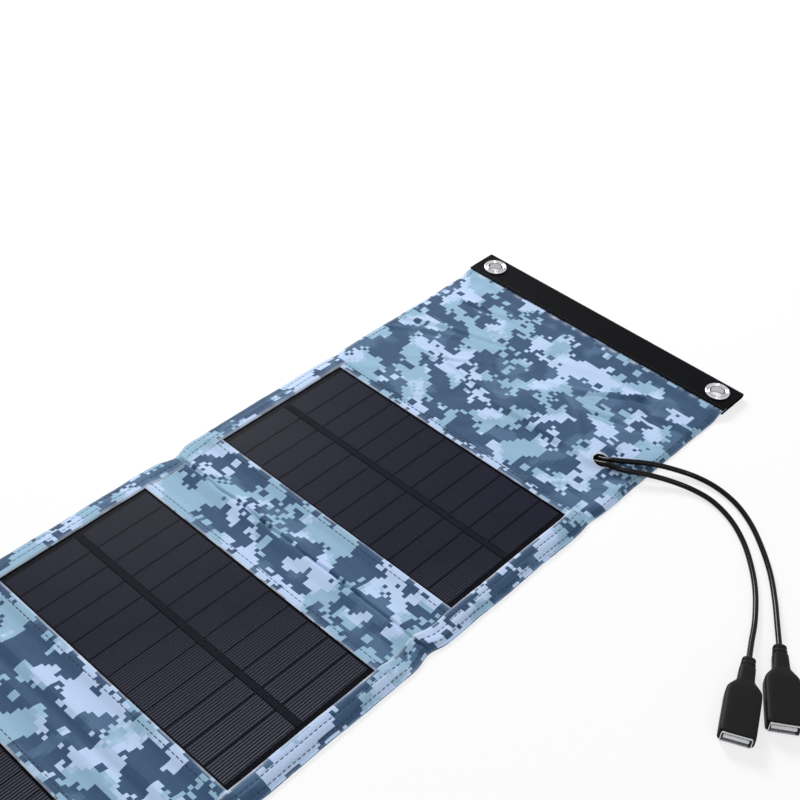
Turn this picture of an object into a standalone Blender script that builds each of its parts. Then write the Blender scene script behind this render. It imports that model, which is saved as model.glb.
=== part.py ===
"""Folding solar charger: a cloth strip of three framed panels and a flap with two cabled USB sockets.

The strip lies open on z = 0. X runs across it, +Y points to the webbing end and +Z is up.
Sizes below are in millimetres and are turned to metres where meshes are made.
"""

import math

import bmesh
import bpy
from mathutils import Matrix, Vector

MM = 0.001

# Driving dimensions: the strip
WINDOW_W = 160.0
WINDOW_L = 86.0
PANELS = 3
PITCH = 137.0
SIDE_MARGIN = 11.0
END_MARGIN = 14.0
FLAP_REACH = 145.5
CREASE = 11.0
CLOTH = 0.5
GAP = 0.3
LAMINATE_GAP = 0.15

# Driving dimensions: the panels
BOARD_LIP = 4.0
BOARD_T = 0.8
CELL_BASE_T = 0.15
CELL_T = 0.3
TAPE_T = 0.15
FILM_T = 0.25
CELL_COLUMNS = 12
CELL_SIDE_BORDER = 3.2
CELL_SLIT = 0.8
CELL_BORDER = 1.2
BUS_BAND = 4.2
BUS_TAPE = 3.4
LEAD_W = 10.0
LEAD_T = 0.3
LEAD_X = 30.0
WINDOW_R = 1.5
HEM_SLOPE = 1.5

# Driving dimensions: the folds, from the flap to the far end
FOLD_HALF = (12.0, 8.0, 5.5)
FOLD_AXIS_Z = (9.9, 6.3, 4.1)
FOLD_RIDGE = (0.0, 3.2, 0.9)

# Driving dimensions: the webbing end and its eyelets
WEBBING_L = 21.5
WEBBING_OVERHANG = 0.5
WEBBING_T = 0.6
TUCK = 5.0
TUCK_RISE = 9.0
TUCK_LEVEL = 1.5
EYELET_R = 7.0
EYELET_HOLE_R = 4.0
EYELET_WALL = 0.6
WASHER_T = 0.6
EYELET_INSET = 10.5

# Driving dimensions: the regulator and the cable slit
REG_L = 42.0
REG_TO_SLIT = 15.0
REG_W = 18.0
REG_FROM_FOLD = 5.7
REG_TRAY_T = 0.6
REG_BOARD_T = 0.8
REG_LID_T = 0.6
REG_TOP = 4.3
DOME_EDGE = 1.0
DOME_SPREAD = 11.0
SLIT_FROM_EDGE = 22.4
SLIT_FROM_REG = 3.24
SLIT_SIZE = (9.0, 8.8)
RIM_BAND = 1.2
RIM_T = 0.35
CABLE_D = 2.8

# Driving dimensions: the USB-A sockets
BODY_W = 16.4
BODY_H = 7.8
BODY_MOUTH = 45.0
SHELL_W = 13.8
SHELL_H = 6.0
SHELL_T = 0.4
SHELL_L = 14.0
SHELL_OUT = 0.8
TONGUE_W = 11.1
TONGUE_T = 1.8
CONTACT_W = 1.0
CONTACT_T = 0.3
CONTACT_PITCH = 2.4

# Worked out from the driving dimensions
CLOTH_W = WINDOW_W + 2 * SIDE_MARGIN
WEBBING_W = CLOTH_W + 2 * WEBBING_OVERHANG
CELL_PITCH = (WINDOW_W - 2 * CELL_SIDE_BORDER) / CELL_COLUMNS
STRIP_L = FLAP_REACH + (PANELS - 1) * PITCH + WINDOW_L + END_MARGIN
TOP_Y = STRIP_L / 2
FIRST_Y = TOP_Y - FLAP_REACH
LEAD_Z = CLOTH + GAP
FRONT_Z = LEAD_Z + LEAD_T + GAP
BOARD_Z = FRONT_Z
CELL_Z = BOARD_Z + BOARD_T + LAMINATE_GAP
TAPE_Z = CELL_Z + CELL_BASE_T + LAMINATE_GAP
FILM_Z = max(CELL_Z + CELL_T, TAPE_Z + TAPE_T) + LAMINATE_GAP
HEM_Z = FILM_Z + FILM_T + GAP
WEB_Z = WASHER_T + GAP
TUCK_BACK_Z = WEB_Z + WEBBING_T + GAP
TUCK_FRONT_Z = TUCK_BACK_Z + CLOTH + GAP
WEB_TOP_Z = TUCK_FRONT_Z + CLOTH + GAP
WEB_INNER_Y = TOP_Y - WEBBING_L
EYELET_Y = TOP_Y - EYELET_INSET
EYELET_X = CLOTH_W / 2 - EYELET_INSET
BARREL_R = EYELET_HOLE_R + EYELET_WALL
DOME_Z = REG_TOP + GAP
FOLD_Y = (
    FIRST_Y + CREASE + FOLD_HALF[0],
    FIRST_Y - WINDOW_L - (PITCH - WINDOW_L) / 2,
    FIRST_Y - PITCH - WINDOW_L - (PITCH - WINDOW_L) / 2,
)
FLAP_START = FOLD_Y[0] + FOLD_HALF[0]
REG_Y = FLAP_START + REG_FROM_FOLD
SLIT_X = CLOTH_W / 2 - SLIT_FROM_EDGE
REG_X = (SLIT_X - REG_TO_SLIT - REG_L, SLIT_X - REG_TO_SLIT)
SLIT_Y = REG_Y + SLIT_FROM_REG
DOME_TOP_X = SLIT_X - SLIT_SIZE[0] / 2 - DOME_EDGE
DOME_FOOT_X = SLIT_X + SLIT_SIZE[0] / 2 + DOME_EDGE

# Cable routes, chosen by hand, from the regulator through the slit to each socket.
# X and Y count from the middle of the slit.
ROUTES = (
    ((-14.4, -1.9, 2.3), (-8.0, -1.9, 2.3), (-3.0, -1.9, 2.5), (1.0, -1.8, 3.8), (5.6, -0.8, 5.2),
     (11.9, 0.9, 5.0), (22.9, 8.1, 4.3), (33.9, 14.5, 2.9), (45.4, 18.5, 1.9), (57.4, 18.8, 1.7),
     (70.9, 14.3, 1.7), (83.5, 6.0, 1.7), (95.1, -5.2, 1.7), (105.4, -17.9, 1.7), (114.6, -33.0, 1.9),
     (121.1, -46.8, 2.9), (125.8, -56.7, 3.9)),
    ((-14.4, 1.9, 2.3), (-8.0, 1.9, 2.3), (-3.0, 1.9, 2.5), (1.0, 2.0, 3.9), (5.2, 3.4, 5.5),
     (8.9, 6.5, 5.3), (19.9, 16.3, 4.3), (30.9, 23.4, 2.9), (41.9, 27.9, 1.9), (53.8, 28.8, 1.7),
     (67.1, 25.8, 1.7), (80.0, 18.9, 1.7), (92.7, 8.7, 1.7), (104.4, -2.8, 1.7), (114.9, -15.9, 1.9),
     (123.8, -28.8, 2.9), (131.7, -40.4, 3.9)),
)
ROUTE_STEP = 7.0


def clear_scene():
    for obj in list(bpy.data.objects):
        bpy.data.objects.remove(obj, do_unlink=True)


def material(name, colour, roughness, metallic=0.0, alpha=1.0):
    mat = bpy.data.materials.new(name)
    mat.use_nodes = True
    shader = mat.node_tree.nodes["Principled BSDF"]
    shader.inputs["Base Color"].default_value = (*colour, 1.0)
    shader.inputs["Roughness"].default_value = roughness
    shader.inputs["Metallic"].default_value = metallic
    shader.inputs["Alpha"].default_value = alpha
    return mat


def add_object(name, bm, mat, hinge=None, smooth=False):
    """Turn a bmesh in millimetres into a named object, on its hinge empty if it has one."""
    bmesh.ops.recalc_face_normals(bm, faces=bm.faces)
    bmesh.ops.scale(bm, vec=(MM, MM, MM), verts=bm.verts)
    mesh = bpy.data.meshes.new(name)
    bm.to_mesh(mesh)
    bm.free()
    mesh.materials.append(mat)
    if smooth:
        mesh.shade_smooth()
        mesh.set_sharp_from_angle(angle=math.radians(40))
    obj = bpy.data.objects.new(name, mesh)
    bpy.context.scene.collection.objects.link(obj)
    if hinge:
        obj.parent = hinge
        obj.location = -Vector(hinge["axis_point"])
    return obj


def add_box(bm, x, y, z):
    """A box between two limits on each axis."""
    size = (x[1] - x[0], y[1] - y[0], z[1] - z[0])
    middle = Vector((sum(x) / 2, sum(y) / 2, sum(z) / 2))
    bmesh.ops.create_cube(bm, size=1.0, matrix=Matrix.Translation(middle) @ Matrix.Diagonal((*size, 1.0)))


def box_object(name, x, y, z, mat, hinge=None):
    bm = bmesh.new()
    add_box(bm, x, y, z)
    return add_object(name, bm, mat, hinge)


def rounded_rectangle(width, length, radius, steps=3):
    """Corner arcs of a rounded rectangle, anticlockwise from its right side."""
    points = []
    for quarter in range(4):
        sx = 1 if quarter in (0, 3) else -1
        sy = 1 if quarter in (0, 1) else -1
        cx = sx * (width / 2 - radius)
        cy = sy * (length / 2 - radius)
        for step in range(steps + 1):
            turn = math.radians(90 * (quarter + step / steps))
            points.append((cx + radius * math.cos(turn), cy + radius * math.sin(turn)))
    return points


def bridge(bm, first, second):
    count = len(first)
    for i in range(count):
        j = (i + 1) % count
        bm.faces.new((first[i], first[j], second[j], second[i]))


def loft(bm, loops, closed=False):
    """Skin a run of equal loops; a closed run joins its last loop to its first, an open one is capped."""
    rings = []
    for loop in loops:
        rings.append([bm.verts.new(p) for p in loop])
    for first, second in zip(rings, rings[1:]):
        bridge(bm, first, second)
    if closed:
        bridge(bm, rings[-1], rings[0])
    else:
        bm.faces.new(rings[0])
        bm.faces.new(rings[-1])


def lathe(bm, profile, centre, sides=24):
    """Turn a closed profile of (radius, height) points about a vertical axis."""
    loops = []
    for r, z in profile:
        ring = []
        for i in range(sides):
            turn = 2 * math.pi * i / sides
            ring.append((centre[0] + r * math.cos(turn), centre[1] + r * math.sin(turn), z))
        loops.append(ring)
    loft(bm, loops, closed=True)


def extrude_path(bm, path, thickness, width):
    """A sheet of one thickness along a path of (y, z) points, spread across X."""
    upper = []
    lower = []
    for i, (y, z) in enumerate(path):
        before = Vector(path[max(i - 1, 0)])
        after = Vector(path[min(i + 1, len(path) - 1)])
        run = (after - before).normalized()
        side = Vector((-run.y, run.x)) * thickness / 2
        upper.append((y + side.x, z + side.y))
        lower.append((y - side.x, z - side.y))
    outline = upper + lower[::-1]
    loops = []
    for x in (-width / 2, width / 2):
        loops.append([(x, y, z) for y, z in outline])
    loft(bm, loops)


def cut(obj, cutter):
    """Take a hidden cutter out of an object."""
    cutter.hide_render = True
    cutter.display_type = "WIRE"
    modifier = obj.modifiers.new("cut_" + cutter.name, "BOOLEAN")
    modifier.operation = "DIFFERENCE"
    modifier.solver = "EXACT"
    modifier.object = cutter


def hinge_empty(name, index, parent):
    """An empty on a fold's axis. Its point is kept in metres in the open pose."""
    point = Vector((0.0, FOLD_Y[index] * MM, FOLD_AXIS_Z[index] * MM))
    empty = bpy.data.objects.new(name, None)
    bpy.context.scene.collection.objects.link(empty)
    empty["axis_point"] = tuple(point)
    empty.parent = parent
    empty.location = point - Vector(parent["axis_point"]) if parent else point
    return empty


def panel_limits(k):
    """Near and far Y limits of one panel's window and of the cloth round it."""
    far = FIRST_Y - k * PITCH
    near = far - WINDOW_L
    cloth_far = FOLD_Y[k] - FOLD_HALF[k] - GAP / 2
    last = k == PANELS - 1
    cloth_near = -TOP_Y if last else FOLD_Y[k + 1] + FOLD_HALF[k + 1] + GAP / 2
    return near, far, cloth_near, cloth_far


def lead_ribbon(name, y, mat, hinge=None):
    """A stretch of the flat two-core lead that runs along the strip under the boards."""
    box_object(name, (LEAD_X - LEAD_W / 2, LEAD_X + LEAD_W / 2), y, (LEAD_Z, LEAD_Z + LEAD_T), mat, hinge)


def grid_sheet(bm, xs, ys, below, above):
    """A closed sheet on a grid of lines, with its two faces' heights from functions of (column, row).

    Returns the upper faces by (column, row).
    """
    layers = []
    for height in (below, above):
        rows = []
        for j, y in enumerate(ys):
            rows.append([bm.verts.new((x, y, height(i, j))) for i, x in enumerate(xs)])
        layers.append(rows)
    upper = {}
    for layer, rows in enumerate(layers):
        for j, (low, high) in enumerate(zip(rows, rows[1:])):
            for i in range(len(xs) - 1):
                face = bm.faces.new((low[i], low[i + 1], high[i + 1], high[i]))
                if layer:
                    upper[i, j] = face
    edges = []
    for rows in layers:
        right = [row[-1] for row in rows[1:-1]]
        left = [row[0] for row in rows[-2:0:-1]]
        edges.append(rows[0] + right + rows[-1][::-1] + left)
    bridge(bm, *edges)
    return upper


def window_cloth(name, near, far, cloth_near, cloth_far, mat, hinge):
    """The front cloth of a panel: a hemmed lip over the film, then a slope down to the flat margin."""
    lip_w = WINDOW_W + 2 * (BOARD_LIP + GAP)
    lip_l = WINDOW_L + 2 * (BOARD_LIP + GAP)
    shapes = (
        (WINDOW_W, WINDOW_L, WINDOW_R, (near + far) / 2, HEM_Z),
        (lip_w, lip_l, WINDOW_R + 1, (near + far) / 2, HEM_Z),
        (lip_w + 2 * HEM_SLOPE, lip_l + 2 * HEM_SLOPE, WINDOW_R + 2, (near + far) / 2, FRONT_Z),
        (CLOTH_W, cloth_far - cloth_near, 1.0, (cloth_near + cloth_far) / 2, FRONT_Z),
    )
    below = []
    above = []
    for width, length, radius, middle, z in shapes:
        outline = rounded_rectangle(width, length, radius)
        below.append([(x, y + middle, z) for x, y in outline])
        above.append([(x, y + middle, z + CLOTH) for x, y in outline])
    bm = bmesh.new()
    loft(bm, below + above[::-1], closed=True)
    add_object(name, bm, mat, hinge)


def make_panel(k, hinge, mats):
    name = f"panel_{k + 1}"
    near, far, cloth_near, cloth_far = panel_limits(k)
    middle = (near + far) / 2
    half_w = WINDOW_W / 2 + BOARD_LIP
    board_far = far + BOARD_LIP
    board_near = near - BOARD_LIP
    box_object(name + "_board", (-half_w, half_w), (board_near, board_far),
               (BOARD_Z, BOARD_Z + BOARD_T), mats["board"], hinge)

    cells = bmesh.new()
    left = -CELL_COLUMNS * CELL_PITCH / 2
    xs = [-half_w + GAP]
    for column in range(CELL_COLUMNS):
        x = left + column * CELL_PITCH
        xs += [x + CELL_SLIT / 2, x + CELL_PITCH - CELL_SLIT / 2]
    xs.append(half_w - GAP)
    ys = (board_near + GAP, near + CELL_BORDER, middle - BUS_BAND / 2, middle + BUS_BAND / 2,
          far - CELL_BORDER, board_far - GAP)
    upper = grid_sheet(cells, xs, ys, lambda i, j: CELL_Z, lambda i, j: CELL_Z + CELL_BASE_T)
    raised = [face for (i, j), face in upper.items() if i % 2 and j in (1, 3)]
    bmesh.ops.recalc_face_normals(cells, faces=cells.faces)
    lifted = bmesh.ops.extrude_discrete_faces(cells, faces=raised)["faces"]
    for face in lifted:
        bmesh.ops.translate(cells, vec=(0.0, 0.0, CELL_T - CELL_BASE_T), verts=face.verts)
    add_object(name + "_cells", cells, mats["cell"], hinge)

    box_object(name + "_bus_tape", (left, -left), (middle - BUS_TAPE / 2, middle + BUS_TAPE / 2),
               (TAPE_Z, TAPE_Z + TAPE_T), mats["tape"], hinge)
    film_w = half_w - GAP
    box_object(name + "_film", (-film_w, film_w), (board_near + GAP, board_far - GAP),
               (FILM_Z, FILM_Z + FILM_T), mats["film"], hinge)
    window_cloth(name + "_front_cloth", near, far, cloth_near, cloth_far, mats["cloth"], hinge)
    box_object(name + "_back_cloth", (-CLOTH_W / 2, CLOTH_W / 2), (cloth_near, cloth_far),
               (0.0, CLOTH), mats["cloth"], hinge)

    lead_near = board_near if k == PANELS - 1 else cloth_near
    lead_ribbon(name + "_lead", (lead_near, cloth_far), mats["copper"], hinge)


def make_fold(index, hinge, mats):
    """The stretch of cloth and leads that bends when one fold closes."""
    name = ("fold_flap", "fold_12", "fold_23")[index]
    half = FOLD_HALF[index] - GAP / 2
    middle = FOLD_Y[index]
    ridge = FOLD_RIDGE[index]
    steps = 12 if ridge else 1
    path = []
    for i in range(steps + 1):
        share = i / steps
        rise = ridge * math.sin(math.pi * share) ** 2
        path.append((middle - half + 2 * half * share, FRONT_Z + CLOTH / 2 + rise))
    front = bmesh.new()
    extrude_path(front, path, CLOTH, CLOTH_W)
    add_object(name + "_front_cloth", front, mats["cloth"], hinge, smooth=True)
    box_object(name + "_back_cloth", (-CLOTH_W / 2, CLOTH_W / 2), (middle - half, middle + half),
               (0.0, CLOTH), mats["cloth"], hinge)
    lead_ribbon(name + "_lead", (middle - half, middle + half), mats["copper"], hinge)


def make_flap_cloth(mats):
    """Front cloth raised over the regulator, with the cable slit, and the flat back cloth."""
    tuck_y = WEB_INNER_Y + TUCK
    rise_y = (WEB_INNER_Y - TUCK_RISE, WEB_INNER_Y - TUCK_LEVEL)
    xs = (-CLOTH_W / 2, REG_X[0] - DOME_SPREAD, REG_X[0] - DOME_EDGE, DOME_TOP_X, DOME_FOOT_X, CLOTH_W / 2)
    ys = (FLAP_START + GAP / 2, FLAP_START + DOME_EDGE, REG_Y - DOME_EDGE, REG_Y + REG_W + DOME_EDGE,
          REG_Y + REG_W + DOME_SPREAD, rise_y[0], rise_y[1], tuck_y)

    def underside(i, j):
        if j >= 6:
            return TUCK_FRONT_Z
        return DOME_Z if i in (2, 3) and j in (2, 3) else FRONT_Z

    bm = bmesh.new()
    grid_sheet(bm, xs, ys, underside, lambda i, j: underside(i, j) + CLOTH)
    bmesh.ops.triangulate(bm, faces=bm.faces)
    front = add_object("flap_front_cloth", bm, mats["cloth"])

    cutter = bmesh.new()
    outline = rounded_rectangle(*SLIT_SIZE, min(SLIT_SIZE) / 2 - 0.2, steps=4)
    loft(cutter, [[(SLIT_X + x, SLIT_Y + y, z) for x, y in outline] for z in (-1.0, DOME_Z + 4.0)])
    cut(front, add_object("slit_cutter", cutter, mats["cloth"]))

    back = bmesh.new()
    path = [
        (FLAP_START + GAP / 2, CLOTH / 2),
        (rise_y[0], CLOTH / 2),
        (rise_y[1], TUCK_BACK_Z + CLOTH / 2),
        (tuck_y, TUCK_BACK_Z + CLOTH / 2),
    ]
    extrude_path(back, path, CLOTH, CLOTH_W)
    add_object("flap_back_cloth", back, mats["cloth"])


def make_slit_rim(mats):
    """Thread rim round the cable slit, tilted with the slope of the cloth."""
    tilt = math.atan2(DOME_Z - FRONT_Z, DOME_FOOT_X - DOME_TOP_X)
    slope_z = FRONT_Z + (DOME_FOOT_X - SLIT_X) * math.tan(tilt)
    hole = [size + 2 * GAP for size in SLIT_SIZE]
    inner = rounded_rectangle(*hole, min(SLIT_SIZE) / 2, steps=4)
    outer = rounded_rectangle(*[size + 2 * RIM_BAND for size in hole], min(SLIT_SIZE) / 2 + RIM_BAND, steps=4)
    loops = []
    for outline, z in ((inner, 0.0), (outer, 0.0), (outer, RIM_T), (inner, RIM_T)):
        loops.append([(x, y, z) for x, y in outline])
    bm = bmesh.new()
    loft(bm, loops, closed=True)
    place = Matrix.Translation((SLIT_X, SLIT_Y, slope_z + CLOTH / math.cos(tilt) + GAP))
    bmesh.ops.transform(bm, matrix=place @ Matrix.Rotation(tilt, 4, "Y"), verts=bm.verts)
    add_object("slit_rim", bm, mats["thread"])


def make_webbing(mats):
    """The black band folded over the flap's end, with a hole for each eyelet."""
    low = WEB_Z + WEBBING_T / 2
    high = WEB_TOP_Z + WEBBING_T / 2
    radius = (high - low) / 2
    turn_y = TOP_Y - WEBBING_T / 2 - radius
    path = [(WEB_INNER_Y, low)]
    for step in range(7):
        angle = math.radians(-90 + 30 * step)
        path.append((turn_y + radius * math.cos(angle), (low + high) / 2 + radius * math.sin(angle)))
    path.append((WEB_INNER_Y, high))
    bm = bmesh.new()
    extrude_path(bm, path, WEBBING_T, WEBBING_W)
    band = add_object("end_webbing", bm, mats["webbing"], smooth=True)
    for side, label in ((-1, "left"), (1, "right")):
        cutter = bmesh.new()
        outline = []
        for i in range(24):
            turn = 2 * math.pi * i / 24
            outline.append((math.cos(turn), math.sin(turn)))
        r = BARREL_R + GAP
        loops = []
        for z in (-2.0, WEB_TOP_Z + 4.0):
            loops.append([(side * EYELET_X + r * x, EYELET_Y + r * y, z) for x, y in outline])
        loft(cutter, loops)
        cut(band, add_object("eyelet_cutter_" + label, cutter, mats["webbing"]))


def make_eyelets(mats):
    """Two pressed eyelets: a barrel with a rolled front flange, and a flat washer behind each."""
    seat = WEB_TOP_Z + WEBBING_T + GAP
    flange = [(EYELET_HOLE_R, GAP), (BARREL_R, GAP), (BARREL_R, seat), (EYELET_R, seat)]
    roll = (EYELET_R - EYELET_HOLE_R) / 2
    for step in range(7):
        angle = math.radians(step * 30)
        flange.append((EYELET_HOLE_R + roll + roll * math.cos(angle), seat + 0.2 + 0.9 * math.sin(angle)))
    washer_in = BARREL_R + GAP
    washer = [(washer_in, 0.0), (EYELET_R, 0.0), (EYELET_R, WASHER_T), (washer_in, WASHER_T)]
    for side, label in ((-1, "left"), (1, "right")):
        for name, profile in (("eyelet_", flange), ("eyelet_washer_", washer)):
            bm = bmesh.new()
            lathe(bm, profile, (side * EYELET_X, EYELET_Y))
            add_object(name + label, bm, mats["eyelet"], smooth=True)


def make_regulator(mats):
    """The voltage regulator sewn into the flap: tray, circuit board and lid, with its lead."""
    x0, x1 = REG_X
    y0, y1 = REG_Y, REG_Y + REG_W
    floor_z = CLOTH + GAP
    wall = 1.0
    lid_z = REG_TOP - REG_LID_T
    centre = ((x0 + x1) / 2, (y0 + y1) / 2)
    outer = rounded_rectangle(x1 - x0, y1 - y0, 2.0)
    inner = rounded_rectangle(x1 - x0 - 2 * wall, y1 - y0 - 2 * wall, 1.2)
    tray = bmesh.new()
    run = ((outer, floor_z), (outer, lid_z - GAP), (inner, lid_z - GAP), (inner, floor_z + REG_TRAY_T))
    loft(tray, [[(x + centre[0], y + centre[1], z) for x, y in shape] for shape, z in run])
    add_object("regulator_tray", tray, mats["case"])
    lid = bmesh.new()
    run = ((outer, lid_z), (outer, REG_TOP - 0.2), (inner, REG_TOP))
    loft(lid, [[(x + centre[0], y + centre[1], z) for x, y in shape] for shape, z in run])
    add_object("regulator_lid", lid, mats["case"])
    board_z = floor_z + REG_TRAY_T + GAP
    inset = wall + 2 * GAP
    box_object("regulator_board", (x0 + inset, x1 - inset), (y0 + inset, y1 - inset),
               (board_z, board_z + REG_BOARD_T), mats["circuit"])
    lead_ribbon("flap_lead", (FLAP_START + GAP / 2, y0 - GAP), mats["copper"])


def smooth_route(points):
    """Points every ROUTE_STEP along a Catmull-Rom curve through a route."""
    knots = [Vector(p) for p in points]
    knots = [2 * knots[0] - knots[1], *knots, 2 * knots[-1] - knots[-2]]
    dense = []
    for a, b, c, d in zip(knots, knots[1:], knots[2:], knots[3:]):
        for step in range(20):
            t = step / 20
            dense.append(0.5 * (2 * b + (c - a) * t + (2 * a - 5 * b + 4 * c - d) * t ** 2
                                + (3 * b - a - 3 * c + d) * t ** 3))
    dense.append(knots[-2])
    length = sum((q - p).length for p, q in zip(dense, dense[1:]))
    count = round(length / ROUTE_STEP)
    spaced = [dense[0]]
    walked = 0.0
    for p, q in zip(dense, dense[1:]):
        walked += (q - p).length
        if walked >= length * len(spaced) / count - 1e-9 and len(spaced) < count:
            spaced.append(q)
    spaced.append(dense[-1])
    return spaced


def make_cable(number, route, mats):
    """One free cable as a round tube along its route. Returns the direction in which it ends."""
    points = smooth_route([(SLIT_X + x, SLIT_Y + y, z) for x, y, z in route])
    name = f"usb_cable_{number}"
    curve = bpy.data.curves.new(name, "CURVE")
    curve.dimensions = "3D"
    curve.bevel_depth = CABLE_D / 2 * MM
    curve.bevel_resolution = 2
    curve.use_fill_caps = True
    spline = curve.splines.new("POLY")
    spline.points.add(len(points) - 1)
    for slot, p in zip(spline.points, points):
        slot.co = (*(p * MM), 1.0)
    curve.materials.append(mats["rubber"])
    bpy.context.scene.collection.objects.link(bpy.data.objects.new(name, curve))
    return points[-1], points[-1] - points[-2]


def make_socket(number, end, heading, mats):
    """A USB-A socket on a cable's end. It is built along +X from the cable's end and then placed."""
    # Each station: distance from the cable, width, height, corner radius
    stations = [(0.0, 5.6, 5.0, 1.8)]
    for rib in range(2):
        start = 0.9 + rib * 2.6
        stations += [(start, 6.4, 5.4, 2.0), (start + 1.4, 6.4, 5.4, 2.0),
                     (start + 1.6, 5.2, 4.6, 1.7), (start + 2.4, 5.2, 4.6, 1.7)]
    stations += [
        (6.2, 7.0, 5.6, 2.0),
        (13.0, 8.0, 6.0, 2.2),
        (16.0, 9.6, 6.6, 2.4),
        (18.2, 12.6, 7.3, 2.4),
        (20.4, 15.2, BODY_H, 2.2),
        (23.0, BODY_W, BODY_H, 1.9),
    ]
    mouth = BODY_MOUTH
    pocket = SHELL_L + GAP - SHELL_OUT
    stations += [
        (mouth - 0.5, BODY_W, BODY_H, 1.9),
        (mouth, BODY_W - 0.8, BODY_H - 0.8, 1.5),
        (mouth, SHELL_W + 2 * GAP, SHELL_H + 2 * GAP, 0.9),
        (mouth - pocket, SHELL_W + 2 * GAP, SHELL_H + 2 * GAP, 0.9),
    ]

    def section(x, width, height, radius):
        return [(x, y, z) for y, z in rounded_rectangle(width, height, radius)]

    heading = heading.copy()
    heading.z = 0.0
    heading.normalize()
    start = Vector((end.x, end.y, BODY_H / 2)) + heading * GAP
    turn = math.atan2(heading.y, heading.x)

    def place(name, bm, mat, smooth=False):
        obj = add_object(f"usb_socket_{number}_{name}", bm, mat, smooth=smooth)
        obj.location = start * MM
        obj.rotation_euler = (0.0, 0.0, turn)

    housing = bmesh.new()
    loft(housing, [section(*s) for s in stations])
    place("housing", housing, mats["rubber"], smooth=True)

    shell_end = mouth + SHELL_OUT
    shell_start = shell_end - SHELL_L
    hole = (SHELL_W - 2 * SHELL_T, SHELL_H - 2 * SHELL_T, 0.4)
    shell = bmesh.new()
    run = [section(x, SHELL_W, SHELL_H, 0.8) for x in (shell_start, shell_end)]
    run += [section(x, *hole) for x in (shell_end, shell_start)]
    loft(shell, run, closed=True)
    place("shell", shell, mats["steel"])

    # The socket lies with its tongue in the lower half, contacts up
    root_l = 3.0
    root_w = SHELL_W / 2 - SHELL_T - GAP
    root_h = SHELL_H / 2 - SHELL_T - GAP
    tongue_z = root_h - TONGUE_T
    tongue = bmesh.new()
    profile = (
        (shell_start, -root_h), (shell_start + root_l, -root_h), (shell_start + root_l, tongue_z - 0.7),
        (shell_end - 1.4, tongue_z - 0.7), (shell_end - 1.0, tongue_z - 0.3),
        (shell_end - 1.0, tongue_z + TONGUE_T - 0.7), (shell_start + root_l, tongue_z + TONGUE_T - 0.7),
        (shell_start + root_l, root_h), (shell_start, root_h),
    )
    half_w = min(TONGUE_W / 2, root_w)
    loft(tongue, [[(x, y, -z) for x, z in profile] for y in (-half_w, half_w)])
    place("tongue", tongue, mats["insulator"])

    top = tongue_z - 0.7 - 0.2
    for i in range(4):
        y = (i - 1.5) * CONTACT_PITCH
        contact = bmesh.new()
        add_box(contact, (shell_start + root_l + GAP, shell_end - 2.4),
                (y - CONTACT_W / 2, y + CONTACT_W / 2), (-top, CONTACT_T - top))
        place(f"contact_{i + 1}", contact, mats["contact"])


def make_materials():
    return {
        "cloth": material("camouflage_polyester", (0.20, 0.30, 0.42), 0.85),
        "webbing": material("coated_webbing", (0.012, 0.012, 0.013), 0.6),
        "thread": material("sewing_thread", (0.6, 0.65, 0.7), 0.8),
        "eyelet": material("nickel_plated_brass", (0.80, 0.80, 0.80), 0.2, 1.0),
        "board": material("panel_board", (0.015, 0.017, 0.02), 0.6),
        "cell": material("silicon_cell", (0.020, 0.024, 0.035), 0.35),
        "tape": material("bus_tape", (0.012, 0.013, 0.016), 0.5),
        "film": material("cover_film", (0.8, 0.82, 0.85), 0.3, 0.0, 0.25),
        "copper": material("tinned_copper", (0.70, 0.68, 0.65), 0.4, 1.0),
        "case": material("case_plastic", (0.02, 0.02, 0.02), 0.5),
        "circuit": material("circuit_board", (0.02, 0.12, 0.05), 0.5),
        "rubber": material("soft_black_plastic", (0.012, 0.012, 0.013), 0.45),
        "steel": material("plated_steel", (0.75, 0.75, 0.76), 0.25, 1.0),
        "insulator": material("white_insulator", (0.75, 0.75, 0.73), 0.5),
        "contact": material("gold_contact", (0.85, 0.65, 0.28), 0.3, 1.0),
    }


def build():
    clear_scene()
    mats = make_materials()
    hinges = []
    for index, name in enumerate(("hinge_flap", "hinge_12", "hinge_23")):
        hinges.append(hinge_empty(name, index, hinges[-1] if hinges else None))
    make_flap_cloth(mats)
    make_slit_rim(mats)
    make_webbing(mats)
    make_eyelets(mats)
    make_regulator(mats)
    for number, route in enumerate(ROUTES, start=1):
        end, heading = make_cable(number, route, mats)
        make_socket(number, end, heading, mats)
    for k, hinge in enumerate(hinges):
        make_panel(k, hinge, mats)
    for index, parent in enumerate((None, hinges[0], hinges[1])):
        make_fold(index, parent, mats)


build()
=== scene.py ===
import math
import random

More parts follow.
